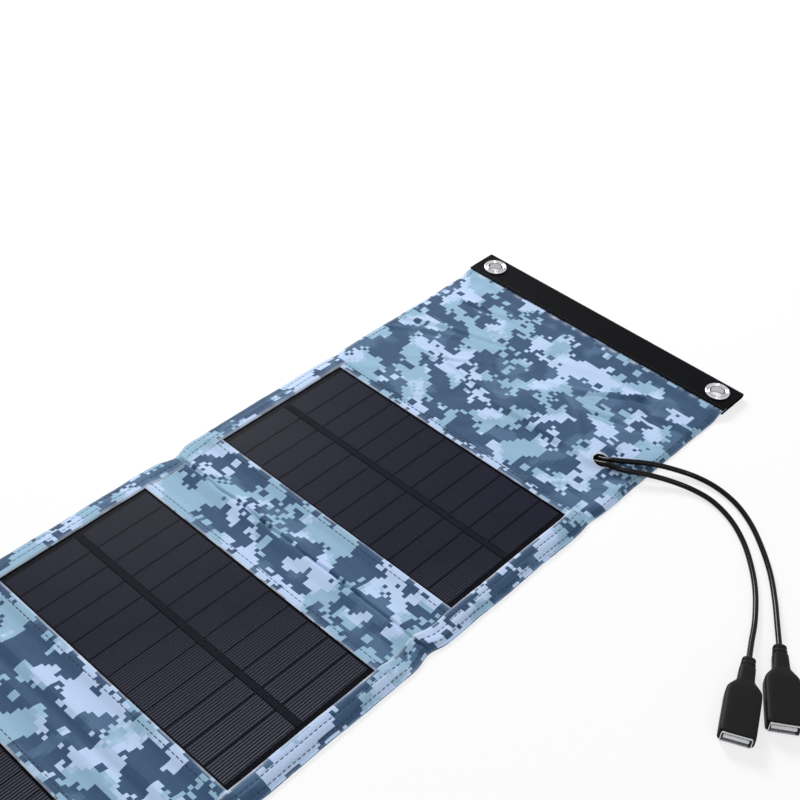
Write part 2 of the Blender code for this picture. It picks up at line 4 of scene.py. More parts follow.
import bmesh
import bpy
from mathutils import Matrix, Vector, noise
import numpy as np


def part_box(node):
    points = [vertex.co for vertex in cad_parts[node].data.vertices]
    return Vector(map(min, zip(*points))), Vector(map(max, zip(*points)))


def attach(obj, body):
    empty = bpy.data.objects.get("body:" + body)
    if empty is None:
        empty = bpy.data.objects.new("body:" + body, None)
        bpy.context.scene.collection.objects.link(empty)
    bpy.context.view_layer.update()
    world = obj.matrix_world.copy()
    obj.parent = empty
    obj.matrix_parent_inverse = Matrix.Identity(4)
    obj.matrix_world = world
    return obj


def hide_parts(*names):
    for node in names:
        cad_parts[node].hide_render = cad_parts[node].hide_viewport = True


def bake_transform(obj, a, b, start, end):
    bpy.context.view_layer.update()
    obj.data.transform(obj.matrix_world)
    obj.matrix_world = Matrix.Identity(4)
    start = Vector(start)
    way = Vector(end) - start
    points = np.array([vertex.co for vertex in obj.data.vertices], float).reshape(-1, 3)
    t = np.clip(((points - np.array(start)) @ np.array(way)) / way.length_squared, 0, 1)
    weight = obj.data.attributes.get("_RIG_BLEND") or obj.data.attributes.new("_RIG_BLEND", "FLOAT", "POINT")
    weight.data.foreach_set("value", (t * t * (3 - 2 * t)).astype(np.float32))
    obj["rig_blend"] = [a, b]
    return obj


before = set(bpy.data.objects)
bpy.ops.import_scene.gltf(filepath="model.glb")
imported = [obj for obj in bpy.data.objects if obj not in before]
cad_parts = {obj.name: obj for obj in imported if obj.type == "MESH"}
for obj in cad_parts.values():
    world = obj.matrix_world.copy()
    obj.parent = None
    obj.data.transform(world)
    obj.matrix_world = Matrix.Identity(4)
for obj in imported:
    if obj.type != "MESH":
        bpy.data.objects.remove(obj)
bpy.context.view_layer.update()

bl_info = {
    "name": "Folding solar charger looks",
    "version": (1, 0, 0),
    "blender": (4, 5, 0),
    "location": "View3D > Sidebar > Charger",
    "description": "Dresses the packed folding solar charger in cloth, webbing, thread, metal and cells",
    "category": "Object",
}

MM = 0.001
ATTRIBUTE_CLOTH = "cloth_mm"
ATTRIBUTE_WEAR = "fold_wear"


def linear(code):
    """An sRGB hex colour as linear red, green and blue."""
    parts = [int(code[i:i + 2], 16) / 255 for i in (1, 3, 5)]
    return tuple(p / 12.92 if p <= 0.04045 else ((p + 0.055) / 1.055) ** 2.4 for p in parts)


def box_mm(node_name):
    """Lowest and highest corner of a CAD node, in millimetres."""
    low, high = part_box(node_name)
    return [v / MM for v in low], [v / MM for v in high]


def smooth(a, b, x):
    """0 before a, 1 after b, smooth between."""
    t = min(1.0, max(0.0, (x - a) / (b - a)))
    return t * t * (3 - 2 * t)


def bump(x, centre, width):
    """A bell of height 1 at centre."""
    return math.exp(-((x - centre) / width) ** 2)


def wave(x, y, size, seed):
    """Smooth noise from about -1 to 1 with features of the given size in mm."""
    return noise.noise(Vector((x / size, y / size, seed * 7.31)))


# Layout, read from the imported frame
BOARD_LIP = 4.0  # the cloth's overlap on a board
FOLDS = {
    "fold_flap": ("flap", "panel_1"),
    "fold_12": ("panel_1", "panel_2"),
    "fold_23": ("panel_2", "panel_3"),
}
FLAP_SPANS = ("flap", "fold_flap")
PANELS = (1, 2, 3)
SIDES = (-1, 1)


def panel_window(panel):
    """x and y limits of a panel's window."""
    low, high = box_mm(f"panel_{panel}_board")
    return low[0] + BOARD_LIP, high[0] - BOARD_LIP, low[1] + BOARD_LIP, high[1] - BOARD_LIP


WINDOWS = [panel_window(p) for p in PANELS]
WINDOW_X = WINDOWS[0][1]
ZONES = {}
for fold in FOLDS:
    low, high = box_mm(f"{fold}_back_cloth")
    ZONES[fold] = (low[1], high[1])
FOLD_MID = {fold: sum(zone) / 2 for fold, zone in ZONES.items()}
CLOTH_X = box_mm("panel_1_back_cloth")[1][0]
STRIP_END = box_mm("panel_3_back_cloth")[0][1]
TUCK_END = box_mm("flap_front_cloth")[1][1]
RIDGE_TOP = box_mm("fold_12_front_cloth")[1][2]
SPANS = {
    "flap": (ZONES["fold_flap"][1], TUCK_END),
    "panel_1": (ZONES["fold_12"][1], ZONES["fold_flap"][0]),
    "panel_2": (ZONES["fold_23"][1], ZONES["fold_12"][0]),
    "panel_3": (STRIP_END, ZONES["fold_23"][0]),
    **ZONES,
}
WEB_LOW, WEB_HIGH = box_mm("end_webbing")
WEB_RADIUS = (WEB_HIGH[2] - WEB_LOW[2]) / 2
WEB_STRAIGHT = WEB_HIGH[1] - WEB_RADIUS - WEB_LOW[1]
WEB_AROUND = 2 * WEB_STRAIGHT + math.pi * WEB_RADIUS
WEB_SEAM = WEB_LOW[1] + 2.2
TUCK_RISE = (WEB_LOW[1] - 9.0, WEB_LOW[1] - 1.5)
LID_LOW, LID_HIGH = box_mm("regulator_lid")
RIM_LOW, RIM_HIGH = box_mm("slit_rim")
SLIT_AT = ((RIM_LOW[0] + RIM_HIGH[0]) / 2, (RIM_LOW[1] + RIM_HIGH[1]) / 2)
SLIT_R = (4.5, 4.3)
SEAM_Y = WINDOWS[0][3] + 6.2
EYELETS = {}
for side in ("left", "right"):
    low, high = box_mm(f"eyelet_{side}")
    EYELETS[side] = ((low[0] + high[0]) / 2, (low[1] + high[1]) / 2)

# Cloth levels and lines in mm, from the solids
CLOTH_T = 0.3
LIE_Z = 1.95  # front cloth where it lies on the back cloth
HEM_Z = 3.55  # front cloth on the rim of a board
EDGE_Z = 0.86  # front cloth at its sewn sides
BACK_Z = 0.52  # inner face of the back cloth
FLAP_LIFT = 0.75  # how far the loose flap stands up between its seams
FLAP_DIP = 0.45  # how far a wrinkle may sink below the lying cloth
LID_COVER = 0.62  # least height of the cloth over the regulator
WEB_LIFT = 2.2  # height of the tucked end of the cloth inside the webbing
STRIP_RISE = 0.38
STRIP_INNER = WINDOW_X - 0.4
STITCH_INNER = WINDOW_X + 4.0
STITCH_OUTER = WINDOW_X + 8.4
FLAP_STITCH = CLOTH_X - 3.0
HEM_STITCH = 4.0
STITCH_LIFT = 0.04

# Cable routes, x and y from the middle of the slit and z from the ground, in mm, as in the solids
SLIT_MID = (68.6, 158.19)
ROUTES = (
    ((-14.4, -1.9, 2.3), (-8.0, -1.9, 2.3), (-3.0, -1.9, 2.5), (1.0, -1.8, 3.8), (5.6, -0.8, 5.2),
     (11.9, 0.9, 5.0), (22.9, 8.1, 4.3), (33.9, 14.5, 2.9), (45.4, 18.5, 1.9), (57.4, 18.8, 1.7),
     (70.9, 14.3, 1.7), (83.5, 6.0, 1.7), (95.1, -5.2, 1.7), (105.4, -17.9, 1.7), (114.6, -33.0, 1.9),
     (121.1, -46.8, 2.9), (125.8, -56.7, 3.9)),
    ((-14.4, 1.9, 2.3), (-8.0, 1.9, 2.3), (-3.0, 1.9, 2.5), (1.0, 2.0, 3.9), (5.2, 3.4, 5.5),
     (8.9, 6.5, 5.3), (19.9, 16.3, 4.3), (30.9, 23.4, 2.9), (41.9, 27.9, 1.9), (53.8, 28.8, 1.7),
     (67.1, 25.8, 1.7), (80.0, 18.9, 1.7), (92.7, 8.7, 1.7), (104.4, -2.8, 1.7), (114.9, -15.9, 1.9),
     (123.8, -28.8, 2.9), (131.7, -40.4, 3.9)),
)


class ChargerSizes(bpy.types.PropertyGroup):
    """Sizes of the dressed charger that a user may change."""
    wrinkle: bpy.props.FloatProperty(
        name="Wrinkle height", description="Height of the flap's wrinkles", default=1.5 * MM, unit="LENGTH")
    stitch_length: bpy.props.FloatProperty(
        name="Stitch length", description="Length of one stitch that shows", default=2.3 * MM,
        unit="LENGTH")
    stitch_pitch: bpy.props.FloatProperty(
        name="Stitch pitch", description="Distance from stitch to stitch", default=2.8 * MM, unit="LENGTH")
    thread: bpy.props.FloatProperty(
        name="Thread", description="Diameter of the sewing thread", default=0.48 * MM, unit="LENGTH")
    cable: bpy.props.FloatProperty(
        name="Cable", description="Diameter of each cable", default=2.8 * MM, unit="LENGTH")


class ChargerColours(bpy.types.PropertyGroup):
    """Colours of the dressed charger that a user may change."""
    slate: bpy.props.FloatVectorProperty(
        name="Slate", description="Dark ground of the camouflage", default=linear("#345070"),
        subtype="COLOR")
    dusk: bpy.props.FloatVectorProperty(
        name="Dusk", description="Second dark of the camouflage", default=linear("#4b6887"),
        subtype="COLOR")
    lavender: bpy.props.FloatVectorProperty(
        name="Lavender", description="Palest patches of the camouflage", default=linear("#b9cfef"),
        subtype="COLOR")
    teal: bpy.props.FloatVectorProperty(
        name="Teal", description="Greenish pale patches of the camouflage", default=linear("#90b4cd"),
        subtype="COLOR")
    worn: bpy.props.FloatVectorProperty(
        name="Worn fold", description="Folded edges where the print has rubbed pale",
        default=linear("#d3d8e6"), subtype="COLOR")
    webbing: bpy.props.FloatVectorProperty(
        name="Webbing", description="Coated end webbing", default=linear("#050608"), subtype="COLOR")
    thread: bpy.props.FloatVectorProperty(
        name="Thread", description="Dark sewing thread", default=linear("#171d28"), subtype="COLOR")
    cell: bpy.props.FloatVectorProperty(
        name="Cell", description="Silicon cells", default=linear("#22232f"), subtype="COLOR")
    plastic: bpy.props.FloatVectorProperty(
        name="Black plastic", description="Cable jackets and socket mouldings", default=linear("#070708"),
        subtype="COLOR")


def sizes():
    """The scene's charger sizes."""
    return bpy.context.scene.charger_sizes


def colours():
    """The scene's charger colours."""
    return bpy.context.scene.charger_colours


# Materials

def node(tree, kind, sockets=None, **settings):
    """Adds a node and returns its outputs; sockets maps an input to a value or to another node's output."""
    made = tree.nodes.new("ShaderNode" + kind)
    for key, value in settings.items():
        setattr(made, key, value)
    for key, value in (sockets or {}).items():
        if isinstance(value, bpy.types.NodeSocket):
            tree.links.new(value, made.inputs[key])
        else:
            made.inputs[key].default_value = value
    return made.outputs


def new_material(name):
    """An empty node material and its tree."""
    mat = bpy.data.materials.new(name)
    mat.use_nodes = True
    mat.node_tree.nodes.clear()
    return mat, mat.node_tree


def rgba(colour):
    """A linear colour with full alpha."""
    return (*tuple(colour)[:3], 1.0)


def camouflage_polyester():
    """Printed plain-weave polyester: a matt blue-grey pixel print with rubbed folds and a fine weave."""
    mat, tree = new_material("printed_camouflage_polyester")
    c = colours()
    pixel, square = 2.1, 4.2  # mm
    patch_size, kind_size, tone_size, dust_size = 17.5, 25.0, 22.0, 1.7  # mm
    patch_cut, pale_dot_cut, dark_dot_cut = 0.55, 0.935, 0.965  # noise levels above which each shows
    kind_edge, tone_edge = (0.5, 0.54), (0.53, 0.57)
    thread_spacing = 0.9  # real thread spacing is about 0.3 mm, drawn coarser so that it shows
    at = node(tree, "Attribute", attribute_name=ATTRIBUTE_CLOTH)["Vector"]
    worn = node(tree, "Attribute", attribute_name=ATTRIBUTE_WEAR)["Fac"]
    pixels = node(tree, "VectorMath", {0: at, 1: (pixel,) * 3}, operation="SNAP")[0]
    squares = node(tree, "VectorMath", {0: at, 1: (square,) * 3}, operation="SNAP")[0]

    patch = node(tree, "TexNoise",
                 {"Vector": pixels, "Scale": 1 / patch_size, "Detail": 1.5, "Roughness": 0.5})[0]
    ragged = node(tree, "TexWhiteNoise", {"Vector": pixels})["Value"]
    patch = node(tree, "Math", {0: ragged, 1: 0.09, 2: patch}, operation="MULTIPLY_ADD")[0]
    pale = node(tree, "Math", {0: patch, 1: patch_cut}, operation="GREATER_THAN")[0]
    kind = node(tree, "TexNoise", {"Vector": pixels, "W": 4.7, "Scale": 1 / kind_size, "Detail": 1.0},
                noise_dimensions="4D")[0]
    kind = node(tree, "Math", {0: ragged, 1: 0.05, 2: kind}, operation="MULTIPLY_ADD")[0]
    tealish = node(tree, "MapRange", {0: kind, 1: kind_edge[0], 2: kind_edge[1]})[0]
    tone = node(tree, "TexNoise", {"Vector": pixels, "W": 9.1, "Scale": 1 / tone_size, "Detail": 1.0},
                noise_dimensions="4D")[0]
    dusk = node(tree, "MapRange", {0: tone, 1: tone_edge[0], 2: tone_edge[1]})[0]
    dots = node(tree, "TexWhiteNoise", {"Vector": squares})["Value"]
    pale_dot = node(tree, "Math", {0: dots, 1: pale_dot_cut}, operation="GREATER_THAN")[0]
    dark_dot = node(tree, "Math", {0: dots, 1: dark_dot_cut}, operation="GREATER_THAN")[0]

    dark = node(tree, "Mix", {0: dusk, 6: rgba(c.slate), 7: rgba(c.dusk)}, data_type="RGBA")[2]
    light = node(tree, "Mix", {0: tealish, 6: rgba(c.lavender), 7: rgba(c.teal)}, data_type="RGBA")[2]
    dark = node(tree, "Mix", {0: pale_dot, 6: dark, 7: light}, data_type="RGBA")[2]
    light = node(tree, "Mix", {0: dark_dot, 6: light, 7: rgba(c.slate)}, data_type="RGBA")[2]
    ink = node(tree, "Mix", {0: pale, 6: dark, 7: light}, data_type="RGBA")[2]
    dust = node(tree, "TexNoise", {"Vector": at, "Scale": 1 / dust_size, "Detail": 3.0})[0]
    rub = node(tree, "Math", {0: dust, 1: 0.45}, operation="ADD")[0]
    rub = node(tree, "Math", {0: rub, 1: worn}, operation="MULTIPLY", use_clamp=True)[0]
    colour = node(tree, "Mix", {0: rub, 6: ink, 7: rgba(c.worn)}, data_type="RGBA")[2]

    split = node(tree, "SeparateXYZ", {0: at})
    threads = []
    for axis in (0, 1):
        turn = node(tree, "Math", {0: split[axis], 1: math.tau / thread_spacing}, operation="MULTIPLY")[0]
        threads.append(node(tree, "Math", {0: turn}, operation="SINE")[0])
    weave = node(tree, "Math", {0: threads[0], 1: threads[1]}, operation="MULTIPLY")[0]
    height = node(tree, "Math", {0: weave, 1: 0.25, 2: dust}, operation="MULTIPLY_ADD")[0]
    relief = node(tree, "Bump", {"Height": height, "Strength": 0.18, "Distance": 0.25 * MM})
    rough = node(tree, "MapRange", {0: dust, 3: 0.62, 4: 0.86})[0]
    shader = node(tree, "BsdfPrincipled",
                  {"Base Color": colour, "Roughness": rough, "Normal": relief[0],
                   "Specular IOR Level": 0.2, "Sheen Weight": 0.08, "Sheen Roughness": 0.5})
    node(tree, "OutputMaterial", {"Surface": shader[0]})
    return mat


def coated_webbing():
    """Coated woven band: dense black with a faint ribbed weave and a dull gloss."""
    mat, tree = new_material("coated_black_webbing")
    rib_size, grit_size = 1.1 * MM, 0.8 * MM
    at = node(tree, "TexCoord")["Object"]
    rib = node(tree, "TexWave",
               {"Vector": at, "Scale": 1 / rib_size / math.tau, "Distortion": 1.2, "Detail": 1.0},
               bands_direction="Y")["Fac"]
    grit = node(tree, "TexNoise", {"Vector": at, "Scale": 1 / grit_size, "Detail": 2.0})[0]
    height = node(tree, "Math", {0: grit, 1: 0.6, 2: rib}, operation="MULTIPLY_ADD")[0]
    relief = node(tree, "Bump", {"Height": height, "Strength": 0.18, "Distance": 0.2 * MM})
    colour = node(tree, "Mix", {0: grit, 6: rgba(colours().webbing), 7: rgba(linear("#0b0c0f"))},
                  data_type="RGBA")[2]
    rough = node(tree, "MapRange", {0: grit, 3: 0.42, 4: 0.62})[0]
    shader = node(tree, "BsdfPrincipled",
                  {"Base Color": colour, "Roughness": rough, "Normal": relief[0],
                   "Specular IOR Level": 0.03})
    node(tree, "OutputMaterial", {"Surface": shader[0]})
    return mat


def grained(name, size, detail, shades=None, roughs=None, depth=0.0, **surface):
    """A material whose shade, gloss and relief, where given, follow one noise of a size in mm."""
    mat, tree = new_material(name)
    at = node(tree, "TexCoord")["Object"]
    grain = node(tree, "TexNoise", {"Vector": at, "Scale": 1 / (size * MM), "Detail": detail})[0]
    if shades:
        surface["Base Color"] = node(tree, "Mix", {0: grain, 6: rgba(shades[0]), 7: rgba(shades[1])},
                                     data_type="RGBA")[2]
    if roughs:
        surface["Roughness"] = node(tree, "MapRange", {0: grain, 3: roughs[0], 4: roughs[1]})[0]
    if depth:
        surface["Normal"] = node(tree, "Bump",
                                 {"Height": grain, "Strength": depth, "Distance": 0.1 * MM})[0]
    shader = node(tree, "BsdfPrincipled", surface)
    node(tree, "OutputMaterial", {"Surface": shader[0]})
    return mat


def spun_thread(name, colour, fleck):
    """Twisted polyester sewing thread: dull, with lighter flecks along its twist."""
    return grained(name, 0.7, 2.0, shades=(colour, fleck),
                   **{"Roughness": 0.75, "Specular IOR Level": 0.2, "Sheen Weight": 0.1})


def plated_metal(name, colour, rough, wear):
    """Plated metal: bright, with faint uneven polish."""
    bright = linear(colour)
    dull = [0.8 * v for v in bright]
    return grained(name, wear, 4.0, (bright, dull), (rough * 0.7, rough * 1.6), Metallic=1.0)


def moulded(name, colour, rough, grain, specular, depth=0.12):
    """Moulded plastic: even colour with a fine moulding grain and a little unevenness in its gloss."""
    lighter = [1.35 * v for v in tuple(colour)[:3]]
    return grained(name, grain, 3.0, (colour, lighter), (rough * 0.8, rough * 1.25), depth,
                   **{"Specular IOR Level": specular})


def cover_film():
    """Clear cover film over the cells: almost invisible, with a soft satin shine and faint haze."""
    return grained("clear_cover_film", 9.0, 3.0, roughs=(0.22, 0.34),
                   **{"Base Color": rgba(linear("#1c1b22")), "Alpha": 0.03, "Specular IOR Level": 0.05})


def silicon_cell():
    """Monocrystalline cell strips: near-black violet with thin printed silver fingers along each strip,
    which brighten by position across the panel as a painted sheen.
    """
    mat, tree = new_material("silicon_cells")
    finger_pitch, finger_width = 1.4 * MM, 0.34 * MM  # drawn wider than real ones so that they show
    tint_size = 26 * MM
    painted_sheen_from, painted_sheen_to = 30 * MM, 130 * MM  # of x - y / 2, where the painted sheen on the fingers begins and ends
    gap_level = (box_mm("panel_1_cells")[1][2] - 0.07) * MM
    at = node(tree, "TexCoord")["Object"]
    x, y, z = node(tree, "SeparateXYZ", {0: at})
    raised = node(tree, "Math", {0: z, 1: gap_level}, operation="GREATER_THAN")[0]
    lane = node(tree, "Math", {0: x, 1: 1 / finger_pitch, 2: 0.5}, operation="MULTIPLY_ADD")[0]
    lane = node(tree, "Math", {0: lane}, operation="FRACT")[0]
    finger = node(tree, "Math", {0: lane, 1: finger_width / finger_pitch}, operation="LESS_THAN")[0]
    tint = node(tree, "TexNoise", {"Vector": at, "Scale": 1 / tint_size, "Detail": 2.0})[0]
    body = node(tree, "Mix", {0: tint, 6: rgba(colours().cell), 7: rgba(linear("#282936"))},
                data_type="RGBA")[2]
    # Painted sheen: the fingers' colour grows brighter by position, across x - y / 2, in place of a
    # reflection; it does not follow the lamps
    across = node(tree, "Math", {0: y, 1: -0.5, 2: x}, operation="MULTIPLY_ADD")[0]
    painted_sheen = node(tree, "MapRange", {0: across, 1: painted_sheen_from, 2: painted_sheen_to})[0]
    finger_with_painted_sheen = node(tree, "Mix", {0: painted_sheen, 6: rgba(linear("#262733")), 7: rgba(linear("#6c6e77"))},
                  data_type="RGBA")[2]
    colour = node(tree, "Mix", {0: finger, 6: body, 7: finger_with_painted_sheen}, data_type="RGBA")[2]
    colour = node(tree, "Mix", {0: raised, 6: rgba(linear("#0d0e14")), 7: colour}, data_type="RGBA")[2]
    rough = node(tree, "MapRange", {0: finger, 3: 0.35, 4: 0.5})[0]
    shader = node(tree, "BsdfPrincipled",
                  {"Base Color": colour, "Roughness": rough, "Specular IOR Level": 0.02})
    node(tree, "OutputMaterial", {"Surface": shader[0]})
    return mat


FINISHES = {}


def finish(name):
    """A finish by name, made once."""
    c = colours()
    # After the colour come roughness and size of grain in mm, and for plastics specular level and relief
    makers = {
        "cloth": camouflage_polyester,
        "webbing": coated_webbing,
        "thread": lambda: spun_thread("dark_sewing_thread", c.thread, linear("#39465a")),
        "pale_thread": lambda: spun_thread("pale_frayed_thread", linear("#b9bfcc"), linear("#e3e6ee")),
        "black_thread": lambda: spun_thread("black_sewing_thread", linear("#0d0e10"), linear("#22242a")),
        "nickel": lambda: plated_metal("nickel_plated_brass", "#cfd0d3", 0.1, 2.2),
        "steel": lambda: plated_metal("plated_steel_shell", "#c9cacd", 0.22, 2.0),
        "gold": lambda: plated_metal("gold_plated_contact", "#d8b25a", 0.25, 1.5),
        "copper": lambda: plated_metal("tinned_copper_ribbon", "#b3aea6", 0.35, 4.0),
        "board": lambda: moulded("black_panel_board", linear("#101118"), 0.55, 1.5, 0.03),
        "cell": silicon_cell,
        "tape": lambda: moulded("black_bus_tape", linear("#191a23"), 0.6, 1.2, 0.02),
        "film": cover_film,
        "case": lambda: moulded("case_plastic", linear("#1c1d20"), 0.5, 0.9, 0.3),
        "circuit": lambda: moulded("green_circuit_board", linear("#1f4a34"), 0.4, 1.2, 0.4),
        "jacket": lambda: moulded("cable_jacket_vinyl", c.plastic, 0.16, 1.6, 0.13, 0.03),
        "housing": lambda: moulded("soft_black_plastic", linear("#0c0c0e"), 0.48, 0.5, 0.12),
        "white": lambda: moulded("white_insulator", linear("#dfe0e2"), 0.45, 1.0, 0.4),
    }
    if name not in FINISHES:
        FINISHES[name] = makers[name]()
    return FINISHES[name]


# Mesh helpers

SHARP_ANGLE = math.radians(50)
CLOSEST_LINES = 0.05


def new_object(name, bm, finish_name, shade_smooth=True):
    """A mesh object in the scene from a bmesh in millimetres."""
    bmesh.ops.transform(bm, matrix=Matrix.Scale(MM, 4), verts=bm.verts[:])
    mesh = bpy.data.meshes.new(name)
    bm.to_mesh(mesh)
    bm.free()
    mesh.polygons.foreach_set("use_smooth", [shade_smooth] * len(mesh.polygons))
    mesh.materials.append(finish(finish_name))
    obj = bpy.data.objects.new(name, mesh)
    bpy.context.scene.collection.objects.link(obj)
    return obj


def thicken(obj, thickness):
    """Gives an open sheet its thickness below its upper face, and fixes it in the mesh."""
    wall = obj.modifiers.new("thickness", "SOLIDIFY")
    wall.thickness = thickness * MM
    wall.offset = -1.0
    bpy.context.view_layer.update()
    done = bpy.data.meshes.new_from_object(obj.evaluated_get(bpy.context.evaluated_depsgraph_get()))
    old = obj.data
    name = old.name
    obj.modifiers.clear()
    obj.data = done
    bpy.data.meshes.remove(old)
    done.name = name
    done.set_sharp_from_angle(angle=SHARP_ANGLE)
    return obj


def cloth_layers(bm):
    """The print-place and wear layers of a cloth bmesh."""
    places, wears = bm.verts.layers.float_vector, bm.verts.layers.float
    return (places.get(ATTRIBUTE_CLOTH) or places.new(ATTRIBUTE_CLOTH),
            wears.get(ATTRIBUTE_WEAR) or wears.new(ATTRIBUTE_WEAR))


def add_grid(bm, xs, ys, position, printed, wear, keep=None):
    """Adds a sheet whose grid lines are at xs and ys; returns its flat area in square mm."""
    place, worn = cloth_layers(bm)
    nx, ny = len(xs) - 1, len(ys) - 1
    made = bmesh.ops.create_grid(bm, x_segments=nx, y_segments=ny, size=0.5)["verts"]
    faces = dict.fromkeys(f for v in made for f in v.link_faces)
    flat = {}
    for v in made:
        x = xs[round((v.co.x + 0.5) * nx)]
        y = ys[round((v.co.y + 0.5) * ny)]
        flat[v] = (x, y)
        v[place] = printed(x, y)
        v[worn] = wear(x, y)
    gone = []
    area = 0.0
    for f in faces:
        px = [flat[v][0] for v in f.verts]
        py = [flat[v][1] for v in f.verts]
        if keep and not keep(sum(px) / 4, sum(py) / 4):
            gone.append(f)
        else:
            area += (max(px) - min(px)) * (max(py) - min(py))
    for v in made:
        v.co = position(*flat[v])
    if gone:
        bmesh.ops.delete(bm, geom=gone, context="FACES")
    return area


def face_up(bm):
    """Turns all the faces of a sheet upwards."""
    bmesh.ops.recalc_face_normals(bm, faces=bm.faces[:])
    if sum(f.normal.z for f in bm.faces) < 0:
        bmesh.ops.reverse_faces(bm, faces=bm.faces[:])


def spread(a, b, step):
    """Even grid lines from a to b, about a step apart, without the last."""
    count = max(1, round((b - a) / step))
    return [a + (b - a) * i / count for i in range(count)]


def ladder(stops, step, fine=()):
    """Grid lines through all stops, a step apart, closer within each (place, reach, step) of fine."""
    marks = set(stops)
    low, high = min(stops), max(stops)
    for place, reach, close in fine:
        count = round(reach / close)
        for i in range(-count, count + 1):
            mark = place + i * close
            if low < mark < high:
                marks.add(round(mark, 4))
    marks = sorted(marks)
    kept = [marks[0]]
    for m in marks[1:]:
        if m - kept[-1] > CLOSEST_LINES:
            kept.append(m)
    lines = []
    for a, b in zip(kept, kept[1:]):
        lines += spread(a, b, step)
    return lines + [kept[-1]]


# The strip's cloth

def hem_distance(x, y):
    """Distance outside the nearest window's edge."""
    nearest = 1e9
    for x0, x1, y0, y1 in WINDOWS:
        nearest = min(nearest, max(x0 - x, x - x1, y0 - y, y - y1))
    return nearest


# Wrinkles of the flap: middle, turn, reach along, width across and height
RNG = random.Random(17)
FLAP_LOW, FLAP_HIGH = SEAM_Y, TUCK_RISE[0]
SOFT_WRINKLES, SHARP_CREASES = 26, 18
WRINKLES = []
for _ in range(SOFT_WRINKLES):
    WRINKLES.append((
        RNG.uniform(-88, 88), RNG.uniform(FLAP_LOW + 4, FLAP_HIGH - 2),
        math.radians(RNG.choice((-1, 1)) * RNG.uniform(8, 62)),
        RNG.uniform(12, 34), RNG.uniform(1.6, 4.2), RNG.uniform(-0.9, 0.9),
    ))
for _ in range(SHARP_CREASES):
    x, y = RNG.uniform(-84, 84), RNG.uniform(FLAP_LOW + 8, FLAP_HIGH - 6)
    turn = math.radians(RNG.choice((-1, 1)) * RNG.uniform(4, 40))
    reach, width, depth = RNG.uniform(12, 34), RNG.uniform(0.9, 1.4), RNG.uniform(0.5, 0.9)
    WRINKLES.append((x, y, turn, reach, width, -depth))
    ridge = 2.4 * width
    ridge_at = (x - ridge * math.sin(turn), y + ridge * math.cos(turn))
    WRINKLES.append((*ridge_at, turn, reach, 1.4 * width, 0.7 * depth))


def flap_relief(x, y):
    """Wrinkles and swell of the flap, about -1 to 1."""
    z = 0.55 * wave(x, y, 46, 1) + 0.3 * wave(x, y, 19, 2)
    for cx, cy, turn, reach, width, height in WRINKLES:
        along = (x - cx) * math.cos(turn) + (y - cy) * math.sin(turn)
        across = -(x - cx) * math.sin(turn) + (y - cy) * math.cos(turn)
        across += 0.06 * along * math.sin(along / 17)
        if abs(along) < 2.4 * reach and abs(across) < 3 * width:
            z += height * bump(along, 0, reach) * bump(across, 0, width)
    return z


def dome(x, y):
    """Share of the swell over the regulator and the cables."""
    rise_x = smooth(LID_LOW[0] - 16, LID_LOW[0] - 2, x)
    fall_x = 1 - smooth(SLIT_AT[0] - 6, SLIT_AT[0] + 6, x)
    rise_y = smooth(LID_LOW[1] - 5.2, LID_LOW[1] - 0.6, y)
    fall_y = 1 - smooth(LID_HIGH[1] + 1, LID_HIGH[1] + 16, y)
    return rise_x * fall_x * (rise_y * fall_y)


def flap_top(x, y):
    """Height of the loose flap: wrinkled, swollen over the regulator and gathered at the webbing."""
    edge = abs(x)
    away = smooth(SEAM_Y, SEAM_Y + 10, y) * (1 - smooth(FLAP_HIGH - 4, FLAP_HIGH + 4, y))
    away *= 1 - 0.65 * bump(y, FOLD_MID["fold_flap"], 7.5)
    z = LIE_Z + (sizes().wrinkle / MM * flap_relief(x, y) + FLAP_LIFT) * away
    z = max(z, LIE_Z - FLAP_DIP)
    swell = dome(x, y)
    z += (LID_HIGH[2] + 0.7 - LIE_Z) * swell * (1 - 0.3 * away)
    z = max(z, LIE_Z + (LID_HIGH[2] + LID_COVER - LIE_Z) * swell)
    z += (WEB_LOW[2] + WEB_LIFT - LIE_Z) * smooth(*TUCK_RISE, y)
    gather = smooth(FLAP_HIGH - 16, FLAP_HIGH, y) * (1 - smooth(TUCK_RISE[0] + 3, TUCK_RISE[1], y))
    z += 0.3 * gather * wave(x, 0.25 * y, 7, 5)
    pucker = smooth(CLOTH_X - 9, CLOTH_X - 3, edge) * (1 - smooth(FLAP_HIGH, FLAP_HIGH + 5, y))
    z += 0.5 * pucker * wave(0.3 * x, y, 5.5, 6)
    return z - 0.3 * bump(edge, FLAP_STITCH, 0.8)


def panel_top(x, y):
    """Height of the cloth round the windows: raised on the boards, drawn down at its hem and stitches."""
    d = hem_distance(x, y)
    hem = 1 - smooth(3.2, 9.0, d)
    z = LIE_Z + (HEM_Z - LIE_Z) * hem
    z += 0.28 * (1 - hem) * (0.4 + wave(x, y, 15, 3)) * smooth(6, 12, d)
    turned_in = 0.9
    if d < turned_in:
        z -= 0.3 * (1 - max(d, 0) / turned_in) ** 2
    z -= 0.16 * bump(d, HEM_STITCH, 0.7)
    return z - 0.12 * abs(wave(x, y, 4.5, 8)) * bump(d, HEM_STITCH, 2.0)


def with_ridge(x, y, z):
    """Adds the pinched ridge and its crease between panels 1 and 2 to a height."""
    low, high = ZONES["fold_12"]
    middle, reach = FOLD_MID["fold_12"], (high - low) / 2 + 3
    if abs(y - middle) >= reach:
        return z
    lift = math.cos(min(1.0, abs(y - middle) / reach) * math.pi / 2) ** 2
    side = 1 - 0.55 * smooth(70, CLOTH_X, abs(x))
    z += (RIDGE_TOP - LIE_Z - 0.4) * lift * side * (0.86 + 0.14 * wave(x, 0, 26, 10))
    crease = middle + 1.6 * wave(x, 0, 24, 11) + 0.7 * wave(x, 0, 7, 12)
    return z - 1.9 * bump(y, crease, 0.8) * (0.75 + 0.25 * wave(x, 5, 12, 13))


